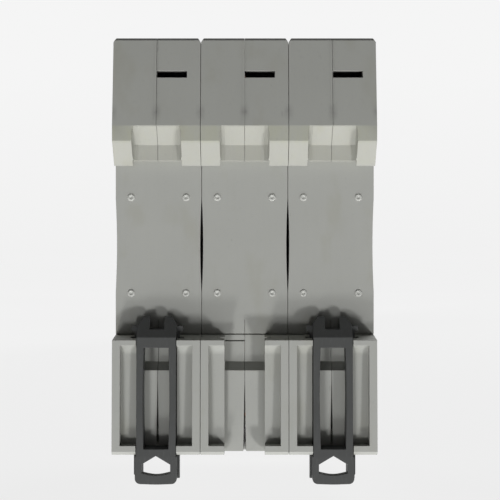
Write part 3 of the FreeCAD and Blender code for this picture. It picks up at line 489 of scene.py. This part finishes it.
def pip_finish(looks):
    """The case's plastic where the pips are pressed: paler, partly as a painted highlight, and
    smoother than the mould's grain, with a painted highlight on the rim and painted shade in the
    hollow.
    """
    material, tree = new_finish("pip_plastic")
    rounded, edge = tree.corner(0.1 * MM)
    cloud = tree.noise(0.7 * MM, 3.0)
    # The paler tone is partly a painted highlight.
    colour = tree.blend(cloud, shade(looks.colour, 1.0), shade(looks.colour, 1.5))
    # Painted highlight on the pip's rim.
    colour = tree.over(colour, edge, 0.4, shade(looks.colour, 1.7))
    # Painted shade in the pip's hollow.
    colour = tree.over(colour, tree.crevice(0.4 * MM), 0.5, shade(looks.colour, 0.5))
    normal = tree.bump(cloud, 0.05 * MM, 0.6, rounded)
    surface(tree, {"Base Color": colour, "Roughness": 0.28 + cloud * 0.2, "Normal": normal})
    return material


def dark_plastic(name, colour, edge_radius, roughness, wear, shine=0.5):
    """A dark glass-filled moulding: fine grain, dull scuffs, paler rubbed edges and painted shade
    in its grooves.
    """
    material, tree = new_finish(name)
    rounded, edge = tree.corner(edge_radius)
    cloud = tree.noise(5 * MM, 3.0)
    tone = tree.blend(cloud, shade(colour, 0.90), shade(colour, 1.12))
    fibres = tree.patches(0.5 * MM, 0.58, 0.70, 2.0, stretch=(1, 1, 0.25))
    tone = tree.over(tone, fibres, 0.16, shade(colour, 1.9))
    scuff = tree.patches(2.6 * MM, 0.64, 0.74, 4.0, stretch=(1, 1, 0.3))
    tone = tree.over(tone, scuff, wear, shade(colour, 1.7))
    tone = tree.over(tone, edge, wear, shade(colour, 2.1))
    # Painted shade deep in the grooves.
    tone = tree.over(tone, tree.crevice(1.2 * MM), 0.4, shade(colour, 0.45))
    grain = tree.noise(0.22 * MM, 3.0)
    normal = tree.bump(grain, 0.015 * MM, 0.35, rounded)
    normal = tree.bump(tree.noise(4 * MM, 1.0), 0.05 * MM, 0.4, normal)
    surface(tree, {
        "Base Color": tone, "Roughness": roughness + grain * 0.12 + scuff * 0.15,
        "Specular IOR Level": shine, "Normal": normal,
    })
    return material


def metal(name, colour, tint, roughness, brushed=(1, 1, 1)):
    """A plated or bare metal with fine brushing, spots of tint and dull grooves."""
    material, tree = new_finish(name)
    rounded, edge = tree.corner(0.12 * MM)
    cloud = tree.patches(2.2 * MM, 0.35, 0.70, 3.0)
    tone = tree.over(opaque(colour), cloud, 0.55, opaque(tint))
    lines = tree.noise(0.16 * MM, 2.0, stretch=brushed)
    tone = tree.over(tone, lines, 0.20, shade(colour, 0.55))
    groove = tree.crevice(0.8 * MM)
    tone = tree.over(tone, groove, 0.55, shade(tint, 0.35))
    tone = tree.over(tone, edge, 0.25, shade(colour, 1.2))
    normal = tree.bump(lines, 0.012 * MM, 0.4, rounded)
    surface(tree, {
        "Base Color": tone, "Metallic": 1.0, "Normal": normal,
        "Roughness": roughness + lines * 0.14 + cloud * 0.08 + groove * 0.2,
    })
    return material


def fibre_finish(looks):
    """Vulcanised fibre: matt, with a short felted grain."""
    material, tree = new_finish("fibre_sheet")
    felt = tree.noise(0.4 * MM, 5.0, stretch=(1, 0.4, 1))
    tone = tree.blend(felt, shade(looks.fibre, 0.75), shade(looks.fibre, 1.3))
    rounded, edge = tree.corner(0.1 * MM)
    tone = tree.over(tone, edge, 0.3, shade(looks.fibre, 1.7))
    normal = tree.bump(felt, 0.04 * MM, 0.5, rounded)
    surface(tree, {"Base Color": tone, "Roughness": 0.72 + felt * 0.15, "Normal": normal})
    return material


def ink(name, colour):
    """Printing ink, a little broken where the grain shows through."""
    material, tree = new_finish(name)
    thin = tree.patches(0.16 * MM, 0.60, 0.80)
    tone = tree.over(opaque(colour), thin, 0.5, shade(colour, 1.8))
    flat = tree.add("ShaderNodeNewGeometry", result="Normal")
    normal = tree.bump(tree.noise(0.2 * MM), 0.01 * MM, 0.3, flat)
    surface(tree, {"Base Color": tone, "Roughness": 0.45 + thin * 0.2, "Normal": normal})
    return material


# Modelling by hand: primitives, edit mode and modifiers


def start(add, name, **settings):
    """Adds a primitive with nothing else selected, and names it."""
    bpy.ops.object.select_all(action="DESELECT")
    add(**settings)
    piece = bpy.context.object
    piece.name = piece.data.name = name
    return piece


class Editing:
    """Edit mode on one piece, whose faces and edges are picked by a test."""

    def __init__(self, piece):
        self.piece = piece

    def __enter__(self):
        bpy.ops.object.select_all(action="DESELECT")
        bpy.context.view_layer.objects.active = self.piece
        self.piece.select_set(True)
        bpy.ops.object.mode_set(mode="EDIT")
        bpy.ops.mesh.select_mode(type="FACE")
        return self

    def __exit__(self, *problem):
        bpy.ops.object.mode_set(mode="OBJECT")

    def pick_faces(self, test):
        bpy.ops.mesh.select_mode(type="FACE")
        bpy.ops.mesh.select_all(action="DESELECT")
        mesh = bmesh.from_edit_mesh(self.piece.data)
        for face in mesh.faces:
            face.select = test(face.calc_center_median(), face.normal)
        mesh.select_flush_mode()
        bmesh.update_edit_mesh(self.piece.data)

    def pick_all(self):
        bpy.ops.mesh.select_all(action="SELECT")

    def face_out(self):
        """Turns every face outwards."""
        self.pick_all()
        bpy.ops.mesh.normals_make_consistent(inside=False)

    def extrude(self, step):
        bpy.ops.mesh.extrude_region_move(TRANSFORM_OT_translate={"value": step})

    def resize(self, factor, axes=(1, 0, 1)):
        """Scales the picked faces about their own middle, along the given axes."""
        value = [factor if axis else 1.0 for axis in axes]
        bpy.ops.transform.resize(value=value)


def settle(piece, smooth=35):
    """Puts the piece's place into its mesh and smooths its curved faces."""
    bpy.ops.object.select_all(action="DESELECT")
    bpy.context.view_layer.objects.active = piece
    piece.select_set(True)
    bpy.ops.object.transform_apply(location=True, rotation=True, scale=True)
    bpy.ops.object.shade_smooth_by_angle(angle=math.radians(smooth))
    return piece


def even_normals(piece):
    """Makes large flat faces shade flat beside small round ones."""
    change = piece.modifiers.new("normals", "WEIGHTED_NORMAL")
    change.keep_sharp = True
    change.weight = 100
    bpy.context.view_layer.objects.active = piece
    bpy.ops.object.modifier_apply(modifier=change.name)


def close_faces(piece):
    """Merges doubled points and turns every face outwards."""
    with Editing(piece) as edit:
        edit.pick_all()
        bpy.ops.mesh.remove_doubles(threshold=0.001 * MM)
        edit.face_out()


def plain_copy(name):
    """A closed copy of a packed node, with large flat faces and no stored normals."""
    shell = copy_piece(NODES[name], f"{name}_shell", Matrix.Identity(4))
    bpy.context.view_layer.objects.active = shell
    bpy.ops.mesh.customdata_custom_splitnormals_clear()
    close_faces(shell)
    with Editing(shell) as edit:
        edit.pick_all()
        bpy.ops.mesh.dissolve_limited(angle_limit=math.radians(0.3))
    return shell


def cut_away(piece, tool):
    """Cuts the tool from the piece, and deletes the tool."""
    change = piece.modifiers.new("cut", "BOOLEAN")
    change.operation = "DIFFERENCE"
    change.object = tool
    change.solver = "EXACT"
    bpy.context.view_layer.objects.active = piece
    bpy.ops.object.modifier_apply(modifier=change.name)
    bpy.data.objects.remove(tool)


def turned(name, radius, corners, rings, smooth):
    """A round piece, raised from a disc ring by ring."""
    piece = start(
        bpy.ops.mesh.primitive_circle_add, name, vertices=corners, radius=radius,
        fill_type="NGON",
    )
    with Editing(piece) as edit:
        edit.pick_all()
        for rise, width in rings:
            edit.extrude((0, 0, rise))
            edit.resize(width, (1, 1, 0))
        edit.face_out()
    return settle(piece, smooth)


def figure(body, name, size, thickness=0.0):
    """A printed figure as a mesh, lying flat and centred."""
    piece = start(bpy.ops.object.text_add, name)
    piece.data.body = body
    piece.data.size = size
    piece.data.align_x = "CENTER"
    piece.data.align_y = "CENTER"
    piece.data.extrude = thickness
    bpy.ops.object.convert(target="MESH")
    piece = bpy.context.object
    piece.name = piece.data.name = name
    return piece


def copy_piece(piece, name, matrix):
    """A copy with a mesh of its own, moved by the matrix."""
    made = piece.copy()
    made.data = piece.data.copy()
    made.name = made.data.name = name
    made.data.transform(matrix)
    bpy.context.scene.collection.objects.link(made)
    return made


def join(pieces, name):
    """Makes one piece of several."""
    bpy.ops.object.select_all(action="DESELECT")
    for piece in pieces:
        piece.select_set(True)
    bpy.context.view_layer.objects.active = pieces[0]
    bpy.ops.object.join()
    pieces[0].name = pieces[0].data.name = name
    return pieces[0]


def dress(piece, body, material, replaced=None):
    """Gives a piece its finish, the body it moves with and the node it stands for."""
    piece.data.materials.clear()
    piece.data.materials.append(material)
    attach(piece, body)
    if replaced:
        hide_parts(replaced)
    return piece


# Operators, one for each group of like pieces


class BREAKER_OT_finishes(bpy.types.Operator):
    """Make every finish and give the packed pieces theirs"""

    bl_idname = "breaker.finishes"
    bl_label = "Finishes"

    def execute(self, context):
        scene = context.scene
        plastics = scene.breaker_plastics
        made = {
            "case": case_finish(scene.breaker_case, "case_plastic", scene.breaker_case.edge),
            "clip": dark_plastic(
                "clip_plastic", plastics.clip, 0.2 * MM, roughness=0.48, wear=0.22, shine=0.2
            ),
            "toggle": dark_plastic(
                "toggle_plastic", plastics.toggle, 0.3 * MM, roughness=0.34, wear=0.14
            ),
            "dark_plastic": dark_plastic(
                "inner_plastic", plastics.inner, 0.1 * MM, roughness=0.45, wear=0.1
            ),
            "copper": metal("bare_copper", *COPPER, roughness=0.30, brushed=(1, 1, 0.1)),
            "steel": metal("bare_steel", *STEEL, roughness=0.34, brushed=(1, 0.12, 1)),
            "zinc": metal("zinc_plate", *ZINC, roughness=0.28),
            "fibre": fibre_finish(plastics),
        }
        pip_finish(scene.breaker_case)
        case_finish(scene.breaker_case, "seam_plastic", 0.0)
        ink("number_print", plastics.print_colour)
        ink("mark_print", plastics.mark)
        for node in NODES.values():
            slot = node.material_slots[0]
            slot.material = made[slot.material.name]
        return {"FINISHED"}


class BREAKER_OT_outer_walls(bpy.types.Operator):
    """Sink the rivets' round recesses into the two outer walls, and set the rivets"""

    bl_idname = "breaker.outer_walls"
    bl_label = "Outer walls and rivets"

    def execute(self, context):
        sizes = context.scene.breaker_rivets
        rivet = turned("rivet", sizes.head, 40, RIVET_RINGS, 50)
        for side, pole in (("left", POLES[0]), ("right", POLES[-1])):
            name = f"case_{side}_{pole}"
            low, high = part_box(name)
            face = high.x if side == "right" else low.x
            self.wall(name, face, sizes)
            self.rivets(rivet, side, face, sizes)
        bpy.data.objects.remove(rivet)
        return {"FINISHED"}

    @staticmethod
    def places():
        """Each rivet's place on the wall: in the nose, behind the terminals, by the rail."""
        nose_y, nose_z = -45.4 * MM, 17.9 * MM
        end_y, end_z = -18.3 * MM, 34.4 * MM
        rail_y, rail_z = -4.2 * MM, 4.9 * MM
        return (
            (nose_y, nose_z), (nose_y, -nose_z), (end_y, end_z), (end_y, -end_z),
            (rail_y, rail_z),
        )

    def wall(self, name, face, sizes):
        """The outer half of an end pole, with a recess with a bevelled floor for each rivet."""
        floor_bevel = 0.3 * MM
        shell = plain_copy(name)
        for number, (y, z) in enumerate(self.places()):
            cutter = start(
                bpy.ops.mesh.primitive_cylinder_add, f"sink_{number}", vertices=48,
                radius=sizes.sink, depth=sizes.sink_depth * 2, location=(face, y, z),
                rotation=(0, math.radians(90), 0),
            )
            with Editing(cutter) as edit:
                edit.pick_faces(lambda _, normal: abs(normal.z) > 0.9)
                bpy.ops.mesh.inset(thickness=floor_bevel)
            cut_away(shell, cutter)
        settle(shell, 30)
        even_normals(shell)
        dress(shell, "case", bpy.data.materials["case_plastic"], name)

    def rivets(self, rivet, side, face, sizes):
        """Five tubular rivets' rolled ends on one outer wall, joined into one piece."""
        sign = SIDES[side]
        seat = face - sign * sizes.sink_depth
        turn = Matrix.Rotation(math.radians(90 * sign), 4, "Y")
        pieces = [
            copy_piece(rivet, f"rivet_{side}_{n}", Matrix.Translation((seat, y, z)) @ turn)
            for n, (y, z) in enumerate(self.places())
        ]
        joined = join(pieces, f"rivets_{side}")
        dress(joined, "case", bpy.data.materials["zinc_plate"])


class BREAKER_OT_pips(bpy.types.Operator):
    """Set the four round pips on the back of each pole"""

    bl_idname = "breaker.pips"
    bl_label = "Back pips"

    def execute(self, context):
        sizes = context.scene.breaker_rivets
        sunk = 0.01 * MM
        pip = turned("pip", sizes.pip, 28, PIP_RINGS, 60)
        pip.data.transform(Matrix.Rotation(math.radians(-90), 4, "X"))
        for pole in POLES:
            middle = POLE_PITCH * (pole - 2)
            pieces = [
                copy_piece(pip, f"pip_{pole}_{x}_{z}", Matrix.Translation((
                    middle + sizes.pip_across * x, -sunk, sizes.pip_up * z,
                )))
                for x in (-1, 1) for z in (-1, 1)
            ]
            joined = join(pieces, f"back_pips_{pole}")
            dress(joined, "case", bpy.data.materials["pip_plastic"])
        bpy.data.objects.remove(pip)
        return {"FINISHED"}


class BREAKER_OT_tongues(bpy.types.Operator):
    """Show the tongue of one case half in the seam of each pole's back"""

    bl_idname = "breaker.tongues"
    bl_label = "Seam tongues"

    def execute(self, context):
        sunk = context.scene.breaker_case.tongue_depth
        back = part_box("case_left_2")[1]
        top = ((back.y - sunk, HOOK_EDGE), (back.y - TOP_LEAN - sunk, back.z - TOP_MARGIN))
        recess = ((FLUSH, RECESS_FOOT), (FLUSH, RECESS_TOP))
        finish = bpy.data.materials["seam_plastic"]
        for pole in POLES:
            middle = POLE_PITCH * (pole - 2)
            pieces = [
                self.tongue(middle, *top, SEAM / 2, 8, f"tongue_{pole}_top"),
                self.tongue(middle, *recess, STRIP_RADIUS, 4, f"tongue_{pole}_recess"),
            ]
            dress(join(pieces, f"seam_tongue_{pole}"), "case", finish)
        return {"FINISHED"}

    @staticmethod
    def tongue(x, foot, head, radius, corners, name):
        """A thin rib with a flat back, from its foot up to its head, each given as (y, z)."""
        turn = math.pi / corners
        rib = start(
            bpy.ops.mesh.primitive_circle_add, name, vertices=corners, radius=radius,
            fill_type="NGON", location=(x, foot[0] - radius * math.cos(turn), foot[1]),
            rotation=(0, 0, turn),
        )
        with Editing(rib) as edit:
            edit.pick_all()
            edit.extrude((0, head[0] - foot[0], head[1] - foot[1]))
            edit.face_out()
        return settle(rib, 50)


class BREAKER_OT_screws(bpy.types.Operator):
    """Turn and slot the six terminal screws"""

    bl_idname = "breaker.screws"
    bl_label = "Terminal screws"

    def execute(self, context):
        sizes = context.scene.breaker_screws
        screw = self.screw(sizes)
        home = node_middle("terminal_screw_top_2")
        for pole in POLES:
            for end in ENDS:
                name = f"terminal_screw_{end}_{pole}"
                move = Matrix.Translation(node_middle(name) - home)
                made = copy_piece(screw, f"{name}_turned", move)
                dress(made, name, bpy.data.materials["zinc_plate"], name)
        bpy.data.objects.remove(screw)
        return {"FINISHED"}

    def screw(self, sizes):
        """One screw: a point, ring after ring of thread, and a head with slot and cross."""
        low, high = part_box("terminal_screw_top_2")
        middle = (low + high) / 2
        clearance, point, chamfer, plain_neck = 0.02 * MM, 0.5 * MM, 0.33 * MM, 0.7 * MM
        point_share, root_share, crest_share, rim_share = 0.8, 0.84, 0.97, 0.90
        radius = (high.x - low.x) / 2 - clearance
        root = radius * root_share
        piece = start(
            bpy.ops.mesh.primitive_circle_add, "screw", vertices=44, radius=root * point_share,
            fill_type="NGON", location=(middle.x, high.y, middle.z),
            rotation=(math.radians(90), 0, 0),
        )
        bpy.ops.object.transform_apply(location=True, rotation=True, scale=True)
        length = high.y - low.y
        turns = int((length - sizes.head - point - plain_neck) / sizes.pitch)
        crest = crest_share * radius / root
        flank, land, valley = sizes.pitch * 0.42, sizes.pitch * 0.12, sizes.pitch * 0.04
        neck = length - sizes.head - point - turns * sizes.pitch
        with Editing(piece) as edit:
            edit.pick_all()
            edit.extrude((0, -point, 0))
            edit.resize(1 / point_share)
            for _ in range(turns):
                edit.extrude((0, -flank, 0))
                edit.resize(crest)
                edit.extrude((0, -land, 0))
                edit.extrude((0, -flank, 0))
                edit.resize(1 / crest)
                edit.extrude((0, -valley, 0))
            edit.extrude((0, -neck, 0))
            edit.extrude((0, -clearance, 0))
            edit.resize(radius / root)
            edit.extrude((0, -(sizes.head - chamfer - clearance), 0))
            edit.extrude((0, -chamfer, 0))
            edit.resize(rim_share)
            edit.face_out()
        self.cut_recess(piece, middle, low.y, radius, sizes)
        return settle(piece, 32)

    def cut_recess(self, piece, middle, front, radius, sizes):
        """The long slot, and a tapered cross on the same centre."""
        across, shallow = radius * 2.2, sizes.slot_depth * 0.8
        span, cross_width = sizes.cross_reach * 2, sizes.slot_width * 1.15
        cross_taper, narrowed = 0.8, 0.75
        blades = (
            (across, sizes.slot_width, shallow, 0, 1.0),
            (span, cross_width, sizes.slot_depth, 0, cross_taper),
            (span, cross_width, sizes.slot_depth, 90, cross_taper),
        )
        for number, (long, wide, deep, turn, taper) in enumerate(blades):
            cutter = start(
                bpy.ops.mesh.primitive_cube_add, f"blade_{number}", size=1,
                location=(middle.x, front, middle.z), scale=(long, deep * 2, wide),
            )
            bpy.ops.object.transform_apply(location=False, rotation=False, scale=True)
            with Editing(cutter) as edit:
                edit.pick_faces(lambda _, normal: normal.y > 0.9)
                bpy.ops.transform.resize(value=(taper, 1, narrowed))
            cutter.rotation_euler.y = math.radians(turn)
            cut_away(piece, cutter)


class BREAKER_OT_numbers(bpy.types.Operator):
    """Print the terminal numbers on the shoulders and the marks on the toggles"""

    bl_idname = "breaker.numbers"
    bl_label = "Numbers and marks"

    def execute(self, context):
        from_screw = 6.2 * MM
        for pole in POLES:
            x = POLE_PITCH * (pole - 2)
            for end, sign in (("top", 1), ("bottom", -1)):
                number = pole * 2 - 1 if end == "top" else pole * 2
                z = node_middle(f"terminal_screw_{end}_{pole}").z - from_screw * sign
                self.terminal_number(number, x, z)
            self.toggle_marks(x, pole)
        return {"FINISHED"}

    def terminal_number(self, number, x, z):
        """A thin raised print on the shoulder, facing the front."""
        piece = figure(str(number), f"number_{number}", size=2.6 * MM, thickness=0.015 * MM)
        upright = Matrix.Rotation(math.radians(90), 4, "X")
        piece.data.transform(Matrix.Translation(Vector((x, SHOULDER, z))) @ upright)
        close_faces(piece)
        dress(piece, "case", bpy.data.materials["number_print"])

    def toggle_marks(self, x, pole):
        """A ring for OFF and a bar for ON, wrapped round the toggle's drum."""
        axis = Vector((x, frame_axis("toggle_turn").y, 0))
        drum = 9.0 * MM
        reach = drum + 0.02 * MM
        marks = (("O", "off", 28), ("I", "on", -104))
        for mark, name, turn in marks:
            piece = figure(mark, f"mark_{name}_{pole}", size=4.6 * MM)
            with Editing(piece) as edit:
                edit.pick_all()
                bpy.ops.mesh.subdivide(number_cuts=5)
            for point in piece.data.vertices:
                angle = math.radians(turn) + point.co.y / drum
                point.co = axis + Vector((
                    point.co.x, -reach * math.cos(angle), reach * math.sin(angle),
                ))
            close_faces(piece)
            dress(piece, "toggles", bpy.data.materials["mark_print"])


class BREAKER_OT_stage(bpy.types.Operator):
    """Lay the floor, hang the lamps and set the camera"""

    bl_idname = "breaker.stage"
    bl_label = "Stage"

    def execute(self, context):
        sizes = context.scene.breaker_stage
        self.camera(context.scene, sizes)
        self.floor(sizes)
        near, small = 0.60, 0.075
        far, wide = 0.80, 0.50
        self.lamp("lamp_low_left", (0.31, 1, -0.53), near, small, sizes.key)
        self.lamp("lamp_low_right", (-0.68, 1, -0.77), near, small, sizes.second)
        self.lamp("lamp_under", (0.42, 1, -1.37), near, small, sizes.under)
        self.lamp("lamp_front_left", (-4, -5, 4.5), far, wide, sizes.front)
        self.lamp("lamp_front_right", (4.5, -4, 2.5), far, wide, sizes.front * 0.7)
        self.sky(context.scene, sizes)
        context.scene.view_settings.view_transform = "Standard"
        return {"FINISHED"}

    def camera(self, scene, sizes):
        """A camera straight behind the model, a little off its middle, as in the photograph."""
        aside, down = -1.1 * MM, -1.0 * MM
        data = bpy.data.cameras.new("camera")
        data.lens = sizes.lens
        data.sensor_width = 36.0
        camera = bpy.data.objects.new("camera", data)
        camera.location = (aside, sizes.distance, down)
        camera.rotation_euler = (math.radians(90), 0, math.radians(180))
        scene.collection.objects.link(camera)
        scene.camera = camera

    def lamp(self, name, towards, distance, size, power):
        """A square soft lamp, in a direction seen from the model, turned to it."""
        lamps_middle = Vector((0, 0, -20 * MM))
        data = bpy.data.lights.new(name, "AREA")
        data.size = size
        data.energy = power
        lamp = bpy.data.objects.new(name, data)
        direction = Vector(towards).normalized()
        lamp.location = direction * distance + lamps_middle
        lamp.rotation_euler = direction.to_track_quat("Z", "Y").to_euler()
        bpy.context.scene.collection.objects.link(lamp)

    def floor(self, sizes):
        """A wide pale floor that takes the model's shadow, with faint changes of tone."""
        near_tone, far_tone, unlit_tone, shadow_tone = 0.815, 0.831, 0.877, 0.06
        slope, back, blur = 1.36, -0.449, 12.0
        lamps_end, fade = 0.55, 2.2
        floor = start(
            bpy.ops.mesh.primitive_plane_add, "floor", size=8, location=(0, 0, sizes.floor)
        )
        material, tree = new_finish("pale_floor")
        here = tree.place()
        line = tree.axis(here, "X") * slope + back - tree.axis(here, "Y")
        far = (line * blur).clamp()
        tone = tree.blend(far, grey(near_tone), grey(far_tone))
        unlit = ((0 - tree.axis(here, "Y") - lamps_end) * fade).clamp()
        tone = tree.blend(unlit, tone, grey(unlit_tone))
        lit = tree.add("ShaderNodeBsdfDiffuse", None, {"Color": grey(shadow_tone)})
        glow = tree.add("ShaderNodeEmission", None, {"Color": tone, "Strength": 1.0})
        seen = tree.add("ShaderNodeAddShader", None, {0: lit, 1: glow})
        tree.end("ShaderNodeOutputMaterial", seen)
        floor.data.materials.append(material)
        floor.visible_diffuse = False
        floor.visible_shadow = False
        settle(floor)

    def sky(self, scene, sizes):
        """Soft light that grows towards straight below, and a pale background behind."""
        world = bpy.data.worlds.new("sky")
        scene.world = world
        tree = Tree(world)
        height = tree.axis(tree.add("ShaderNodeTexCoord", result="Generated"), "Z")
        strength = (0 - height).clamp() * sizes.bounce + sizes.sky
        light = tree.add("ShaderNodeBackground", None, {"Color": grey(1.0), "Strength": strength})
        horizon_tone, high_tone, rise = 0.879, 0.913, 6.0
        backdrop = tree.blend((height * rise).clamp(), grey(horizon_tone), grey(high_tone))
        pale = tree.add("ShaderNodeBackground", None, {"Color": backdrop, "Strength": 1.0})
        direct = tree.add("ShaderNodeLightPath", result="Is Camera Ray")
        glossy = tree.add("ShaderNodeLightPath", result="Is Glossy Ray")
        through = tree.add("ShaderNodeLightPath", result="Is Transmission Ray")
        seen = (direct + glossy + through).clamp()
        mixed = tree.add("ShaderNodeMixShader", None, {0: seen, 1: light, 2: pale})
        tree.end("ShaderNodeOutputWorld", mixed)


class BREAKER_PT_pieces(bpy.types.Panel):
    """Lists the steps in the order in which they run"""

    bl_idname = "BREAKER_PT_pieces"
    bl_label = "Circuit breaker"
    bl_space_type = "VIEW_3D"
    bl_region_type = "UI"
    bl_category = "Breaker"

    def draw(self, context):
        for step in STEPS:
            self.layout.operator(step.bl_idname)
        for group in GROUPS:
            self.layout.label(text=group.__doc__)
            for name in group.__annotations__:
                self.layout.prop(getattr(context.scene, GROUPS[group]), name)


STEPS = (
    BREAKER_OT_finishes, BREAKER_OT_outer_walls, BREAKER_OT_pips, BREAKER_OT_tongues,
    BREAKER_OT_screws, BREAKER_OT_numbers, BREAKER_OT_stage,
)
GROUPS = {
    CaseLooks: "breaker_case",
    PlasticLooks: "breaker_plastics",
    ScrewSizes: "breaker_screws",
    RivetSizes: "breaker_rivets",
    StageSizes: "breaker_stage",
}


def register():
    """Adds the sizes, the steps and the panel to Blender."""
    for group, name in GROUPS.items():
        bpy.utils.register_class(group)
        setattr(bpy.types.Scene, name, bpy.props.PointerProperty(type=group))
    for kind in STEPS + (BREAKER_PT_pieces,):
        bpy.utils.register_class(kind)


def unregister():
    """Takes them away again."""
    for kind in reversed(STEPS + (BREAKER_PT_pieces,)):
        bpy.utils.unregister_class(kind)
    for group, name in GROUPS.items():
        delattr(bpy.types.Scene, name)
        bpy.utils.unregister_class(group)


def main():
    """Runs every step in order."""
    register()
    for step in STEPS:
        area, name = step.bl_idname.split(".")
        getattr(getattr(bpy.ops, area), name)()


if __name__ == "__main__":
    main()
